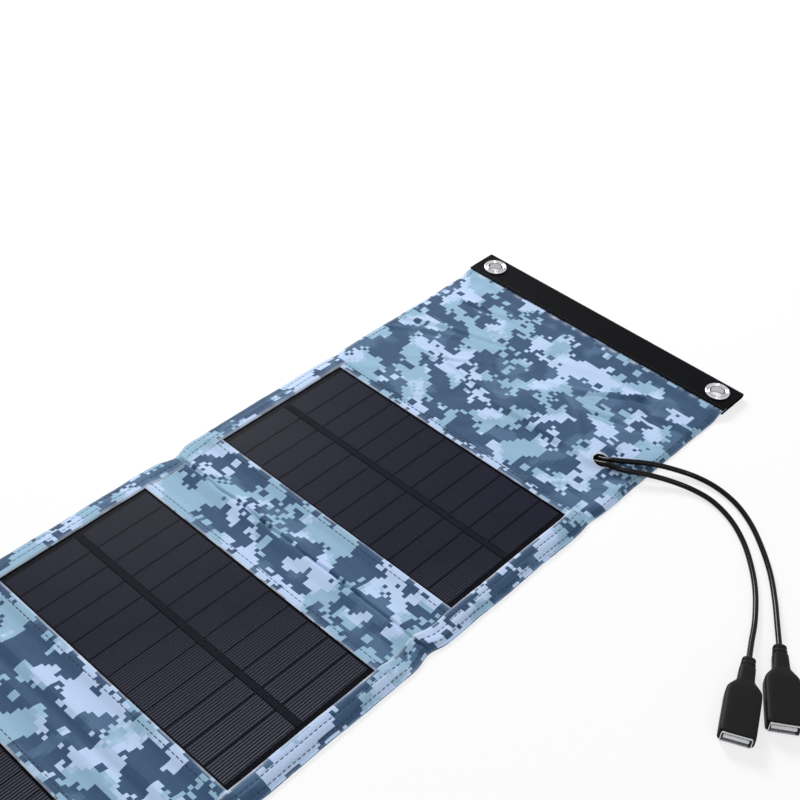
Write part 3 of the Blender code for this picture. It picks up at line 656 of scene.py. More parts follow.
def with_rolls(x, y, z):
    """Adds the two soft rolls and the valley between panels 2 and 3 to a height."""
    middle = FOLD_MID["fold_23"]
    if abs(y - middle) >= 20:
        return z
    rolls = bump(y, middle - 6.2 + wave(x, 0, 40, 14), 3.6)
    rolls += bump(y, middle + 6.2 + wave(x, 3, 40, 15), 3.6)
    z += 1.5 * rolls * (1 - 0.6 * smooth(76, CLOTH_X, abs(x)))
    return z - 0.6 * bump(y, middle + 0.8 * wave(x, 0, 30, 16), 1.1)


def cloth_top(x, y):
    """Height of the front cloth's upper face."""
    z = flap_top(x, y) if y > SEAM_Y else panel_top(x, y)
    z -= 0.5 * bump(y, SEAM_Y + 0.25 * wave(x, 0, 14, 9), 0.8)
    z = with_rolls(x, y, with_ridge(x, y, z))
    drop = smooth(CLOTH_X - 3.2, CLOTH_X, abs(x)) * (1 - smooth(*TUCK_RISE, y))
    z += (EDGE_Z - z) * drop
    end = 1 - smooth(STRIP_END, STRIP_END + 2.5, y)
    return z + (EDGE_Z - z) * end


def edge_shift(x, y):
    """How far the cloth's sides wander and pull in at the folds."""
    side = smooth(CLOTH_X - 24, CLOTH_X, abs(x))
    sign = 1 if x > 0 else -1
    pinch = (3.4 if sign < 0 else 2.0) * bump(y, FOLD_MID["fold_12"], 7.0)
    pinch += 1.2 * bump(y, FOLD_MID["fold_23"], 9.0) + 0.9 * bump(y, SEAM_Y, 6.0)
    wander = 0.45 * wave(sign * 9, y, 22, 20) + 0.2 * wave(sign * 9, y, 6, 21)
    wander *= 1 - smooth(TUCK_RISE[0], WEB_LOW[1], y)
    return -sign * side * (pinch - wander)


def front_place(x, y):
    """A point on the front cloth's upper face."""
    return Vector((x + edge_shift(x, y), y, cloth_top(x, y)))


def strip_place(x, y):
    """A point on the upper face of a side hem strip."""
    edge = abs(x)
    z = cloth_top(x, y) + STRIP_RISE
    inner = 1 - smooth(STRIP_INNER, STRIP_INNER + 0.9, edge)
    z -= (STRIP_RISE - 0.02) * 0.6 * inner ** 2
    if hem_distance(x, y) < 4:
        z = min(z, HEM_Z + STRIP_RISE) - 0.16 * inner
    for line in (STITCH_INNER, STITCH_OUTER):
        z -= 0.2 * bump(edge, line, 0.7)
        z -= 0.2 * abs(wave(0.2 * x, y, 4.0, 24)) * bump(edge, line, 2.2)
    z += 0.5 * max(0.0, wave(x, 0.13 * y, 2.6, 33)) * smooth(WINDOW_X + 4.5, WINDOW_X + 7.0, edge)
    return Vector((x + edge_shift(x, y), y, z))


def back_place(x, y):
    """A point on the back cloth's inner, upper face."""
    z = BACK_Z + 0.1 * (1 + wave(x, y, 30, 30)) * (1 - smooth(CLOTH_X - 6, CLOTH_X, abs(x)))
    z += (WEB_LOW[2] + 1.3 - BACK_Z) * smooth(*TUCK_RISE, y)
    return Vector((x + edge_shift(x, y), y, z))


def front_print(x, y):
    """Where the print's own coordinates are on the front cloth."""
    return Vector((x + 400, y + 900, 0))


def strip_print(x, y):
    """Where the print's own coordinates are on the side strips, which were cut across the cloth."""
    return Vector((y + 1700 + (470 if x > 0 else 0), x + 2300, 130))


def back_print(x, y):
    """Where the print's own coordinates are on the back cloth."""
    return Vector((x + 3100, y + 1500, 80))


def slit_share(x, y):
    """Distance from the middle of the cable slit, 1 on its cut edge."""
    return math.hypot((x - SLIT_AT[0]) / SLIT_R[0], (y - SLIT_AT[1]) / SLIT_R[1])


def front_wear(x, y):
    """How pale the folds of the front cloth are rubbed."""
    d = hem_distance(x, y)
    worn = (0.42 + 0.4 * wave(x, y, 6, 40)) * (1 - smooth(0.5, 1.5, d))
    if y > SEAM_Y:
        fray = bump(y, WEB_LOW[1] - 0.6, 1.2) * smooth(-0.1, 0.4, wave(x, 0, 7, 42))
        worn = max(worn, 0.8 * fray, 0.3 * smooth(CLOTH_X - 0.6, CLOTH_X, abs(x)))
        worn = max(worn, 0.8 * (1 - smooth(1.0, 1.35, slit_share(x, y))))
    return worn


def strip_wear(x, y):
    """How pale the folded inner edge of a side strip is rubbed."""
    edge = abs(x)
    patchy = 0.5 + 0.5 * wave(x, y, 7, 41)
    return max(patchy * (1 - smooth(STRIP_INNER + 0.5, STRIP_INNER + 1.6, edge)),
               0.3 * patchy * smooth(CLOTH_X - 0.8, CLOTH_X, edge))


def no_wear(x, y):
    """Cloth with no rubbed folds."""
    return 0.0


def uncut(x, y):
    """True where the front cloth has neither a window nor the cable slit."""
    return hem_distance(x, y) >= 0 and slit_share(x, y) >= 1


def front_lines(span_name):
    """Grid lines of a front cloth piece, closer at its edges, hems, stitches and slit."""
    low, high = SPANS[span_name]
    loose = span_name in FLAP_SPANS
    fine_x, fine_y = [], []
    for sign in SIDES:
        fine_x += [(sign * (CLOTH_X - 1.5), 1.5, 0.75)]
        if not loose:
            fine_x += [(sign * (WINDOW_X + 0.9), 0.9, 0.45), (sign * STITCH_INNER, 1.2, 0.6)]
    stops_x = [-CLOTH_X, -WINDOW_X, WINDOW_X, CLOTH_X]
    stops_y = [low, high]
    if span_name == "flap":
        fine_x += [(SLIT_AT[0], 7.0, 0.7)]
        fine_y += [(SLIT_AT[1], 7.0, 0.7)]
    for x0, x1, y0, y1 in WINDOWS:
        for mark, out in ((y0, -1), (y1, 1)):
            if low < mark < high:
                stops_y.append(mark)
                fine_y += [(mark + out * 0.9, 0.9, 0.45), (mark + out * HEM_STITCH, 1.2, 0.6)]
    fine_y += [(SEAM_Y, 2.0, 0.5), (STRIP_END + 1.5, 1.5, 0.75)]
    if span_name == "fold_12":
        fine_y += [(FOLD_MID["fold_12"], 3.6, 0.4)]
    step = 1.5 if loose else 1.8
    return ladder(stops_x, step, fine_x), ladder(stops_y, step, fine_y)


def carry(obj, span_name):
    """Lets a piece ride on its body, or bend between the two bodies of its fold."""
    if span_name in FOLDS:
        low, high = ZONES[span_name]
        upper, lower = FOLDS[span_name]
        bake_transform(obj, upper, lower, start=(0, high * MM, 0), end=(0, low * MM, 0))
    else:
        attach(obj, span_name)


def snap_slit(bm):
    """Pulls the cut edge of the slit onto its outline."""
    for v in bm.verts:
        share = slit_share(v.co.x, v.co.y)
        if v.is_boundary and share < 1.6:
            x = SLIT_AT[0] + (v.co.x - SLIT_AT[0]) / share
            y = SLIT_AT[1] + (v.co.y - SLIT_AT[1]) / share
            v.co = front_place(x, y) + Vector((0, 0, 0.1))


def finish_cloth(bm, span_name, face):
    face_up(bm)
    obj = thicken(new_object(f"{span_name}_{face}_cloth_visual", bm, "cloth"), CLOTH_T)
    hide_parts(f"{span_name}_{face}_cloth")
    carry(obj, span_name)


def front_cloth(span_name):
    """One piece of the front cloth with its side hem strips."""
    xs, ys = front_lines(span_name)
    bm = bmesh.new()
    area = add_grid(bm, xs, ys, front_place, front_print, front_wear, uncut)
    if span_name == "flap":
        snap_slit(bm)
    if span_name not in FLAP_SPANS:
        top = min(SPANS[span_name][1], SEAM_Y - 0.4)
        rows = [y for y in ys if y < top - 0.2] + [top]
        for sign in SIDES:
            fine = [(sign * (STRIP_INNER + 0.6), 0.6, 0.3)]
            fine += [(sign * line, 1.2, 0.6) for line in (STITCH_INNER, STITCH_OUTER)]
            fine += [(sign * (CLOTH_X - 1.0), 1.0, 0.5)]
            columns = ladder(sorted((sign * STRIP_INNER, sign * CLOTH_X)), 1.2, fine)
            area += add_grid(bm, columns, rows, strip_place, strip_print, strip_wear)
    finish_cloth(bm, span_name, "front")


def back_cloth(span_name):
    """One piece of the back cloth."""
    xs = ladder([-CLOTH_X, CLOTH_X], 3.0, [(-CLOTH_X + 2, 2, 1.0), (CLOTH_X - 2, 2, 1.0)])
    ys = ladder(SPANS[span_name], 1.5 if span_name in FOLDS else 2.5)
    bm = bmesh.new()
    area = add_grid(bm, xs, ys, back_place, back_print, no_wear)
    finish_cloth(bm, span_name, "back")


# Stitches

STITCH_SHAPE = []


def stitch_shape():
    """One stitch along X, one unit long and wide, a spindle of 30 faces, and its resting points."""
    if not STITCH_SHAPE:
        bm = bmesh.new()
        turned = Matrix.Rotation(math.pi / 2, 4, "Y")
        bmesh.ops.create_uvsphere(bm, u_segments=6, v_segments=5, radius=0.5, matrix=turned)
        mesh = bpy.data.meshes.new("stitch_shape")
        bm.to_mesh(mesh)
        bm.free()
        STITCH_SHAPE.extend((mesh, [c for v in mesh.vertices for c in v.co]))
    return STITCH_SHAPE


def add_stitch(bm, a, b, width, height):
    """Adds one stitch from a to b, in mm."""
    mesh, resting = stitch_shape()
    along = b - a
    turn = along.to_track_quat("X", "Z").to_matrix().to_4x4()
    size = Matrix.Diagonal((along.length, width, height, 1.0))
    mesh.transform(Matrix.Translation((a + b) / 2) @ turn @ size)
    bm.from_mesh(mesh)
    mesh.vertices.foreach_set("co", resting)


def stitch_run(bm, points, place, lift):
    """Adds stitches along a line of flat points, laid on the surface that place gives."""
    s = sizes()
    pitch, length, thread = s.stitch_pitch / MM, s.stitch_length / MM, s.thread / MM
    (x0, y0), (x1, y1) = points
    run = math.hypot(x1 - x0, y1 - y0)
    count = int(run / pitch)
    up = Vector((0, 0, lift))
    for i in range(count):
        reached = i * run / count
        a, b = reached / run, min((reached + length) / run, 1)
        start = place(x0 + (x1 - x0) * a, y0 + (y1 - y0) * a) + up
        stop = place(x0 + (x1 - x0) * b, y0 + (y1 - y0) * b) + up
        add_stitch(bm, start, stop, thread, thread * 0.8)


def back_under(x, y):
    """A point just under the back cloth."""
    return back_place(x, y) - Vector((0, 0, CLOTH_T))


def span_lines(span_name):
    """The stitch lines of a span: side lines on the strips, and hem lines across."""
    low, high = SPANS[span_name]
    sides, across = [], []
    if span_name in FLAP_SPANS:
        lines, ends = (FLAP_STITCH,), (max(low, SEAM_Y + 1.5), min(high, TUCK_RISE[1]))
    else:
        lines, ends = (STITCH_INNER, STITCH_OUTER), (low, min(high, SEAM_Y - 1.0))
    for sign in SIDES:
        sides += [tuple((sign * line, y) for y in ends) for line in lines]
    for x0, x1, y0, y1 in WINDOWS:
        for y in (y0 - HEM_STITCH, y1 + HEM_STITCH):
            if low <= y < high:
                across.append(((x0, y), (x1, y)))
    seam_stitch = SEAM_Y - 1.9
    if low <= seam_stitch < high:
        across.append(((-CLOTH_X + 2, seam_stitch), (CLOTH_X - 2, seam_stitch)))
    return sides, across


def stitches(span_name):
    """The stitches of one span, on its front and its back."""
    sides, across = span_lines(span_name)
    bm = bmesh.new()
    on_side = front_place if span_name in FLAP_SPANS else strip_place
    for lines, place in ((sides, on_side), (across, front_place)):
        for line in lines:
            stitch_run(bm, line, place, STITCH_LIFT)
            stitch_run(bm, line, back_under, 0.0)
    obj = new_object(f"{span_name}_stitches", bm, "thread")
    carry(obj, span_name)


# Stage, in metres, watts and degrees: the camera was solved from the photograph's straight edges
CAMERA_PLACE = (0.33056, -0.30687, 0.49084)
CAMERA_TURN = (40.881, 40.953, 3.525)  # azimuth, elevation and roll
CAMERA_LENS = 61.82
LAMPS = (
    ("key_softbox", (-1.15, 0.7, 0.85), 0.5, 21.0),
    ("fill_softbox", (1.1, -0.5, 1.2), 1.2, 4.0),
    ("strip_light", (0.35, -0.1, 1.4), 0.2, 2.4),
)
LAMP_AIM = (0.05, 0.0, 0.0)
FLOOR_HALF, FLOOR_DROP = 4000, 0.05  # mm
FLOOR_WHITE = 0.68  # share of plain white where the floor is seen; the rest keeps the shadow
SKY_LIGHT, SKY_SEEN = 0.36, 1.0  # strength of the surroundings as a light, and as they are seen


def seen_rays(tree):
    """1 for rays that see the white background, straight, in gloss or through film, else 0."""
    path = node(tree, "LightPath")
    seen = path["Is Camera Ray"]
    for ray in ("Is Glossy Ray", "Is Transmission Ray"):
        seen = node(tree, "Math", {0: seen, 1: path[ray]}, operation="MAXIMUM")[0]
    return seen


class CHARGER_OT_stage(bpy.types.Operator):
    """Sets the floor, the lights, the white surroundings and the camera"""
    bl_idname = "charger.stage"
    bl_label = "Stage and camera"

    def execute(self, context):
        scene = context.scene
        scene.view_settings.view_transform = "Standard"
        bm = bmesh.new()
        bmesh.ops.create_grid(bm, x_segments=4, y_segments=4, size=FLOOR_HALF)
        bmesh.ops.translate(bm, verts=bm.verts[:], vec=(0, 0, -FLOOR_DROP))
        mat, tree = new_material("white_paper_floor")
        at = node(tree, "TexCoord")["Object"]
        tooth = node(tree, "TexNoise", {"Vector": at, "Scale": 1 / (2 * MM)})[0]
        paper = node(tree, "Mix",
                     {0: tooth, 6: rgba(linear("#fbfbfb")), 7: rgba(linear("#ffffff"))},
                     data_type="RGBA")[2]
        lit = node(tree, "BsdfDiffuse", {"Color": paper})[0]
        white = node(tree, "Emission", {"Color": (1, 1, 1, 1), "Strength": 1.0})[0]
        share = node(tree, "Math", {0: seen_rays(tree), 1: FLOOR_WHITE}, operation="MULTIPLY")[0]
        both = node(tree, "MixShader", {0: share, 1: lit, 2: white})
        node(tree, "OutputMaterial", {"Surface": both[0]})
        FINISHES["floor"] = mat
        new_object("floor", bm, "floor", False)

        world = bpy.data.worlds.new("white_surroundings")
        scene.world = world
        world.use_nodes = True
        tree = world.node_tree
        tree.nodes.clear()
        strength = node(tree, "MapRange", {0: seen_rays(tree), 3: SKY_LIGHT, 4: SKY_SEEN})[0]
        sky = node(tree, "Background", {"Color": (1, 1, 1, 1), "Strength": strength})
        node(tree, "OutputWorld", {"Surface": sky[0]})

        for name, place, size, power in LAMPS:
            lamp = bpy.data.lights.new(name, "AREA")
            lamp.size = size
            lamp.energy = power
            obj = bpy.data.objects.new(name, lamp)
            turn = (Vector(LAMP_AIM) - Vector(place)).to_track_quat("-Z", "Y").to_matrix().to_4x4()
            obj.matrix_world = Matrix.Translation(place) @ turn
            scene.collection.objects.link(obj)

        azimuth, elevation, roll = (math.radians(v) for v in CAMERA_TURN)
        back = Vector((math.sin(azimuth) * math.cos(elevation), -math.cos(azimuth) * math.cos(elevation),
                       math.sin(elevation)))
        right = Vector((math.cos(azimuth), math.sin(azimuth), 0))
        up = back.cross(right)
        right = math.cos(roll) * right + math.sin(roll) * up
        up = back.cross(right)
        camera = bpy.data.cameras.new("photograph_camera")
        camera.sensor_width = 36.0
        camera.lens = CAMERA_LENS
        camera.clip_start = 0.01
        obj = bpy.data.objects.new("photograph_camera", camera)
        turn = Matrix((right, up, back)).transposed().to_4x4()
        obj.matrix_world = Matrix.Translation(CAMERA_PLACE) @ turn
        scene.collection.objects.link(obj)
        scene.camera = obj
        return {"FINISHED"}


# Cables and sockets

ROUTE_STEPS = 6
SECTION_SIDES = 40


def smooth_route(points):
    """Points along a Catmull-Rom curve through a cable's route, in mm."""
    knots = [Vector((SLIT_MID[0] + x, SLIT_MID[1] + y, z)) for x, y, z in points]
    knots = [2 * knots[0] - knots[1], *knots, 2 * knots[-1] - knots[-2]]
    dense = []
    for a, b, c, d in zip(knots, knots[1:], knots[2:], knots[3:]):
        for step in range(ROUTE_STEPS):
            t = step / ROUTE_STEPS
            dense.append(0.5 * (2 * b + (c - a) * t + (2 * a - 5 * b + 4 * c - d) * t ** 2
                                + (3 * b - a - 3 * c + d) * t ** 3))
    dense.append(knots[-2])
    return dense


def section_point(turn, x, width, height, square):
    """A point of a section across X: an ellipse at square 2, a rounded rectangle above."""
    c, s = turn
    c = math.copysign(abs(c) ** (2 / square), c)
    s = math.copysign(abs(s) ** (2 / square), s)
    return Vector((x, c * width / 2, s * height / 2))


def drawn_along(bm, stations):
    """Draws a circle through stations of distance, width, height and squareness, and closes both ends."""
    circle = bmesh.ops.create_circle(bm, segments=SECTION_SIDES, radius=1.0)["verts"]
    turns = {v: (v.co.x, v.co.y) for v in circle}
    edges = list(dict.fromkeys(e for v in circle for e in v.link_edges))
    first = edges
    for v, turn in turns.items():
        v.co = section_point(turn, *stations[0])
    for station in stations[1:]:
        here = {tuple(v.co): turn for v, turn in turns.items()}
        made = bmesh.ops.extrude_edge_only(bm, edges=edges)["geom"]
        turns = {v: here[tuple(v.co)] for v in made if isinstance(v, bmesh.types.BMVert)}
        edges = [e for e in made if isinstance(e, bmesh.types.BMEdge) and all(v in turns for v in e.verts)]
        for v, turn in turns.items():
            v.co = section_point(turn, *station)
    bmesh.ops.holes_fill(bm, edges=first + edges, sides=0)
    bmesh.ops.recalc_face_normals(bm, faces=bm.faces[:])


# Socket moulding stations in mm: distance from the cable, width, height, and squareness
SOCKET_STATIONS = (
    (0.0, 4.6, 4.2, 2.4), (0.2, 5.6, 5.0, 2.6), (0.6, 6.3, 5.4, 3.0), (1.9, 6.6, 5.5, 3.0),
    (2.1, 5.6, 4.9, 3.0), (2.8, 5.7, 4.9, 3.0), (3.0, 6.7, 5.5, 3.0), (4.4, 6.9, 5.6, 3.0),
    (4.6, 5.9, 5.0, 3.0), (5.3, 6.0, 5.0, 3.0),
    (5.5, 7.2, 5.7, 3.6), (6.0, 7.4, 5.8, 3.6), (9.5, 7.6, 5.9, 3.8), (13.0, 7.9, 6.0, 4.0),
    (14.0, 8.2, 6.15, 4.0), (15.0, 9.3, 6.5, 4.2), (16.4, 11.4, 7.0, 4.6), (17.6, 13.2, 7.4, 5.0),
    (18.8, 14.9, 7.66, 5.4), (20.0, 15.7, 7.76, 5.8), (21.2, 16.1, 7.78, 6.0), (23.0, 16.34, 7.8, 6.0),
    (24.0, 16.4, 7.8, 6.0), (33.0, 16.4, 7.8, 6.0), (43.6, 16.4, 7.8, 6.0), (44.4, 16.2, 7.65, 6.0),
    (44.8, 15.9, 7.35, 6.0), (45.0, 15.4, 6.95, 6.0), (45.0, 14.5, 6.5, 8.0), (44.6, 14.3, 6.4, 9.0),
    (32.0, 14.3, 6.4, 9.0),
)


def socket_housing(number, end, heading):
    """The moulded housing of one socket, with ribbed strain relief and an open mouth round the shell."""
    bm = bmesh.new()
    drawn_along(bm, SOCKET_STATIONS)
    low, high = box_mm(f"usb_socket_{number}_housing")
    heading = Vector((heading.x, heading.y, 0)).normalized()
    start = Vector((end.x, end.y, (low[2] + high[2]) / 2)) + 0.3 * heading
    turn = Matrix.Rotation(math.atan2(heading.y, heading.x), 4, "Z")
    bmesh.ops.transform(bm, matrix=Matrix.Translation(start) @ turn, verts=bm.verts[:])
    obj = new_object(f"usb_socket_{number}_housing_visual", bm, "housing")
    soft = obj.modifiers.new("moulded_rounding", "SUBSURF")
    soft.levels = 1
    soft.render_levels = 1
    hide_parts(f"usb_socket_{number}_housing")
    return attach(obj, "flap")


class CHARGER_OT_cables(bpy.types.Operator):
    """Lays the two cables and their moulded sockets"""
    bl_idname = "charger.cables"
    bl_label = "Cables and sockets"

    def execute(self, context):
        shown = {"shell": "steel", "tongue": "white", **{f"contact_{n}": "gold" for n in (1, 2, 3, 4)}}
        for number, route in enumerate(ROUTES, start=1):
            points = smooth_route(route)
            curve = bpy.data.curves.new(f"usb_cable_{number}_visual", "CURVE")
            curve.dimensions = "3D"
            spline = curve.splines.new("POLY")
            spline.points.add(len(points) - 1)
            for knot, p in zip(spline.points, points):
                knot.co = (*(p * MM), 1.0)
            spline.use_smooth = True
            curve.bevel_depth = sizes().cable / 2
            curve.bevel_resolution = 5
            curve.use_fill_caps = True
            curve.materials.append(finish("jacket"))
            cable = bpy.data.objects.new(f"usb_cable_{number}_visual", curve)
            context.scene.collection.objects.link(cable)
            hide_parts(f"usb_cable_{number}")
            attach(cable, "flap")
            on_it = [socket_housing(number, points[-1], points[-1] - points[-2])]
            for piece, finish_name in shown.items():
                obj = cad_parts[f"usb_socket_{number}_{piece}"]
                obj.material_slots[0].material = finish(finish_name)
                on_it.append(obj)
        return {"FINISHED"}


class CHARGER_OT_front_cloth(bpy.types.Operator):
    """Sews the front cloth of the flap, the panels and the folds"""
    bl_idname = "charger.front_cloth"
    bl_label = "Front cloth"

    def execute(self, context):
        front_cloth("flap")
        for panel in PANELS:
            front_cloth(f"panel_{panel}")
        for fold in FOLDS:
            front_cloth(fold)
        return {"FINISHED"}


class CHARGER_OT_back_cloth(bpy.types.Operator):
    """Lays the back cloth of the flap, the panels and the folds"""
    bl_idname = "charger.back_cloth"
    bl_label = "Back cloth"

    def execute(self, context):
        for span_name in SPANS:
            back_cloth(span_name)
        return {"FINISHED"}


class CHARGER_OT_stitches(bpy.types.Operator):
    """Sews the stitch lines of the hems, the seam and the sides"""
    bl_idname = "charger.stitches"
    bl_label = "Stitches"

    def execute(self, context):
        for span_name in SPANS:
            stitches(span_name)
        return {"FINISHED"}


# Webbing, eyelets and slit

WEB_THICKNESS = 0.55
WEB_DIP = 0.16  # how far the seam draws the upper inner edge down
EYELET_CUT = 5.4
FRAYED_ENDS, FRAYED_FOLD = 70, 16
FRAY_WIDTH, FRAY_HEIGHT = 0.3, 0.24
WHIPS, WHIP_WIDTH, WHIP_HEIGHT = 46, 0.42, 0.36
WHIP_START = 0.97  # share of the slit's radius


def web_profile(t):
    """y and z of the webbing's outer face at t from 0, the lower inner edge, to 1, the upper one."""
    s = t * WEB_AROUND
    if s < WEB_STRAIGHT:
        return WEB_LOW[1] + s, WEB_LOW[2]
    if s < WEB_STRAIGHT + math.pi * WEB_RADIUS:
        turn = (s - WEB_STRAIGHT) / WEB_RADIUS
        return (WEB_HIGH[1] - WEB_RADIUS + WEB_RADIUS * math.sin(turn),
                WEB_LOW[2] + WEB_RADIUS - WEB_RADIUS * math.cos(turn))
    return WEB_LOW[1] + WEB_AROUND - s, WEB_HIGH[2]


def web_place(x, t):
    """A point on the webbing's outer face."""
    y, z = web_profile(t)
    upper = smooth(0.5, 0.56, t)
    inner = smooth(0.96, 1.0, t) + 1 - smooth(0.0, 0.04, t)
    y += 0.25 * wave(x, 0, 16, 40) * inner
    if upper:
        z -= WEB_DIP * inner
        z -= 0.12 * abs(wave(x, y, 11, 41)) * upper
        z -= 0.14 * bump(y, WEB_SEAM, 0.8)
    return Vector((x, y, z))


class CHARGER_OT_webbing(bpy.types.Operator):
    """Folds the webbing over the end of the flap and sews it down"""
    bl_idname = "charger.webbing"
    bl_label = "End webbing"

    def execute(self, context):
        bm = bmesh.new()
        fine = [(cx, 8.0, 1.0) for cx, cy in EYELETS.values()]
        xs = ladder([WEB_LOW[0], WEB_HIGH[0]], 2.2, fine)
        ts = ladder([0.0, 1.0], 0.022, [(0.5, 0.06, 0.006), (0.04, 0.03, 0.01), (0.96, 0.03, 0.01)])

        def keep(x, t):
            y = web_profile(t)[0]
            return all(math.hypot(x - cx, y - cy) > EYELET_CUT for cx, cy in EYELETS.values())

        add_grid(bm, xs, ts, web_place, front_print, no_wear, keep)
        bmesh.ops.recalc_face_normals(bm, faces=bm.faces[:])
        top = max(bm.faces, key=lambda f: f.calc_center_median().z)
        if top.normal.z < 0:
            bmesh.ops.reverse_faces(bm, faces=bm.faces[:])
        obj = thicken(new_object("end_webbing_visual", bm, "webbing"), WEB_THICKNESS)
        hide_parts("end_webbing")
        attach(obj, "flap")

        bm = bmesh.new()
        run = ((WEB_LOW[0] + 2, WEB_SEAM), (WEB_HIGH[0] - 2, WEB_SEAM))
        stitch_run(bm, run, lambda x, y: Vector((x, y, WEB_HIGH[2] - WEB_DIP)), STITCH_LIFT)
        stitch_run(bm, run, lambda x, y: Vector((x, y, WEB_LOW[2])), 0.0)
        obj = new_object("end_webbing_stitches", bm, "black_thread")
        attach(obj, "flap")

        rng = random.Random(5)
        bm = bmesh.new()
        for _ in range(FRAYED_ENDS):
            x = rng.uniform(-CLOTH_X + 1, CLOTH_X - 1)
            y = WEB_LOW[1] + rng.uniform(-1.4, 0.5)
            turn = rng.uniform(-0.9, 0.9)
            reach = rng.uniform(0.5, 1.4)
            lies = max(front_place(x, min(y, WEB_LOW[1])).z, WEB_HIGH[2] - 0.9)
            start = Vector((x, y, lies + 0.1))
            stop = start + Vector((math.cos(turn), math.sin(turn), rng.uniform(-0.1, 0.25))) * reach
            add_stitch(bm, start, stop, FRAY_WIDTH, FRAY_HEIGHT)
        for _ in range(FRAYED_FOLD):
            x = rng.uniform(-CLOTH_X + 3, CLOTH_X - 3)
            y, z = web_profile(0.5 + rng.uniform(-0.01, 0.03))
            start = Vector((x, y, z))
            stop = start + Vector((rng.uniform(0.8, 1.6), 0, 0))
            add_stitch(bm, start, stop, FRAY_WIDTH, FRAY_WIDTH)
        obj = new_object("frayed_thread_ends", bm, "pale_thread")
        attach(obj, "flap")
        return {"FINISHED"}


def lathe(profile, centre, name, finish_name):
    """A turned piece from its closed radius and height profile."""
    bm = bmesh.new()
    rail = [bm.verts.new((r, 0, z)) for r, z in profile]
    edges = [bm.edges.new((a, b)) for a, b in zip(rail, rail[1:] + rail[:1])]
    bmesh.ops.spin(bm, geom=rail + edges, cent=(0, 0, 0), axis=(0, 0, 1), angle=math.tau, steps=72,
                   use_merge=True)
    bmesh.ops.remove_doubles(bm, verts=bm.verts[:], dist=1e-4)
    bmesh.ops.recalc_face_normals(bm, faces=bm.faces[:])
    bmesh.ops.translate(bm, verts=bm.verts[:], vec=(*centre, 0))
    return new_object(name, bm, finish_name)


class CHARGER_OT_eyelets(bpy.types.Operator):
    """Turns the two rolled eyelets and their washers"""
    bl_idname = "charger.eyelets"
    bl_label = "Eyelets"

    def execute(self, context):
        for side, centre in EYELETS.items():
            low, high = box_mm(f"eyelet_{side}")
            outer = (high[0] - low[0]) / 2
            bore, barrel = 4.05, 4.55
            under, top, foot = 4.25, high[2], low[2]
            roll = [(bore, foot + 0.1), (bore, under + 0.2), (bore + 0.1, top - 0.4),
                    (bore + 0.3, top - 0.1), (bore + 0.55, top), (bore + 0.8, top - 0.08),
                    (bore + 1.0, top - 0.35), (bore + 1.12, top - 0.8), (bore + 1.25, top - 0.93),
                    (bore + 1.4, top - 0.9), (bore + 1.62, top - 0.55), (bore + 1.85, top - 0.3),
                    (bore + 2.15, top - 0.2), (outer - 0.5, top - 0.3), (outer - 0.2, top - 0.5),
                    (outer - 0.05, top - 0.78), (outer, under + 0.12), (outer - 0.12, under + 0.02),
                    (outer - 0.5, under), (barrel + 0.3, under), (barrel, under - 0.2),
                    (barrel, foot + 0.1), ((bore + barrel) / 2, foot)]
            low, high = box_mm(f"eyelet_washer_{side}")
            outer = (high[0] - low[0]) / 2
            inner = barrel + 0.05
            ring = [(inner, low[2] + 0.25), (inner + 0.3, low[2] + 0.02), (inner + 0.9, low[2]),
                    (outer - 0.5, low[2] + 0.12), (outer - 0.1, low[2] + 0.3), (outer, high[2] - 0.1),
                    (outer - 0.2, high[2]), (inner, high[2])]
            for name, profile in ((f"eyelet_{side}", roll), (f"eyelet_washer_{side}", ring)):
                obj = lathe(profile, centre, f"{name}_visual", "nickel")
                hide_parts(name)
                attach(obj, "flap")
        return {"FINISHED"}


class CHARGER_OT_slit(bpy.types.Operator):
    """Whips the edge of the cable slit with pale thread"""
    bl_idname = "charger.slit"
    bl_label = "Slit rim"

    def execute(self, context):
        rng = random.Random(11)
        bm = bmesh.new()
        for i in range(WHIPS):
            turn = math.tau * (i + rng.uniform(-0.25, 0.25)) / WHIPS
            out = Vector((math.cos(turn), math.sin(turn), 0))
            inner = Vector((SLIT_AT[0] + SLIT_R[0] * WHIP_START * out.x,
                            SLIT_AT[1] + SLIT_R[1] * WHIP_START * out.y, 0))
            outer = inner + out * rng.uniform(1.1, 1.9)
            inner.z = cloth_top(inner.x, inner.y) - 0.1
            outer.z = cloth_top(outer.x, outer.y) + 0.12
            add_stitch(bm, inner, outer, WHIP_WIDTH, WHIP_HEIGHT)
        obj = new_object("slit_rim_visual", bm, "pale_thread")
        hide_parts("slit_rim")
        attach(obj, "flap")
        return {"FINISHED"}


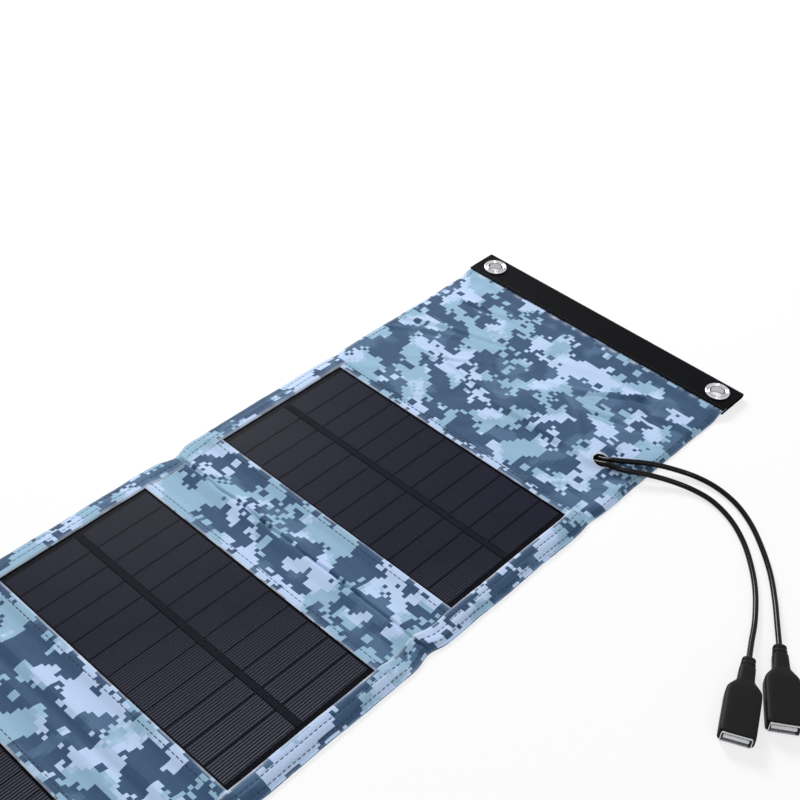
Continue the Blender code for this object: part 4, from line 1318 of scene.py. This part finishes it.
class CHARGER_OT_panels(bpy.types.Operator):
    """Finishes the panels' boards, cells, tape and film, and the hidden regulator and leads"""
    bl_idname = "charger.panels"
    bl_label = "Panels and electrics"

    def execute(self, context):
        shown = {}
        for panel in PANELS:
            for piece, finish_name in (("board", "board"), ("cells", "cell"), ("bus_tape", "tape"),
                                       ("film", "film"), ("lead", "copper")):
                shown[f"panel_{panel}_{piece}"] = finish_name
        shown.update(regulator_tray="case", regulator_lid="case", regulator_board="circuit",
                     flap_lead="copper")
        for piece, finish_name in shown.items():
            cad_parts[piece].material_slots[0].material = finish(finish_name)
        for fold in FOLDS:
            low, high = box_mm(f"{fold}_lead")
            bm = bmesh.new()
            xs = ladder([low[0], high[0]], 1.7)
            ys = ladder([low[1], high[1]], 1.0)
            add_grid(bm, xs, ys, lambda x, y: Vector((x, y, high[2])), front_print, no_wear)
            face_up(bm)
            obj = thicken(new_object(f"{fold}_lead_visual", bm, "copper"), high[2] - low[2])
            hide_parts(f"{fold}_lead")
            carry(obj, fold)
        return {"FINISHED"}


OPERATORS = (
    CHARGER_OT_stage, CHARGER_OT_cables, CHARGER_OT_front_cloth, CHARGER_OT_back_cloth, CHARGER_OT_stitches,
    CHARGER_OT_webbing, CHARGER_OT_eyelets, CHARGER_OT_slit, CHARGER_OT_panels,
)


class CHARGER_PT_looks(bpy.types.Panel):
    """Lists the charger's pieces in the sidebar"""
    bl_label = "Folding solar charger"
    bl_idname = "CHARGER_PT_looks"
    bl_space_type = "VIEW_3D"
    bl_region_type = "UI"
    bl_category = "Charger"

    def draw(self, context):
        for operator in OPERATORS:
            self.layout.operator(operator.bl_idname)
        for group in (context.scene.charger_sizes, context.scene.charger_colours):
            for name in group.__annotations__:
                self.layout.prop(group, name)


CLASSES = (ChargerSizes, ChargerColours, *OPERATORS, CHARGER_PT_looks)


def register():
    """Registers the add-on's classes and its scene properties."""
    for cls in CLASSES:
        bpy.utils.register_class(cls)
    bpy.types.Scene.charger_sizes = bpy.props.PointerProperty(type=ChargerSizes)
    bpy.types.Scene.charger_colours = bpy.props.PointerProperty(type=ChargerColours)


def unregister():
    """Removes what register added."""
    del bpy.types.Scene.charger_colours
    del bpy.types.Scene.charger_sizes
    for cls in reversed(CLASSES):
        bpy.utils.unregister_class(cls)


def main():
    """Dresses the frame."""
    register()
    bpy.ops.charger.stage()
    bpy.ops.charger.cables()
    bpy.ops.charger.front_cloth()
    bpy.ops.charger.back_cloth()
    bpy.ops.charger.stitches()
    bpy.ops.charger.webbing()
    bpy.ops.charger.eyelets()
    bpy.ops.charger.slit()
    bpy.ops.charger.panels()
    bpy.context.view_layer.update()


if __name__ == "__main__":
    main()
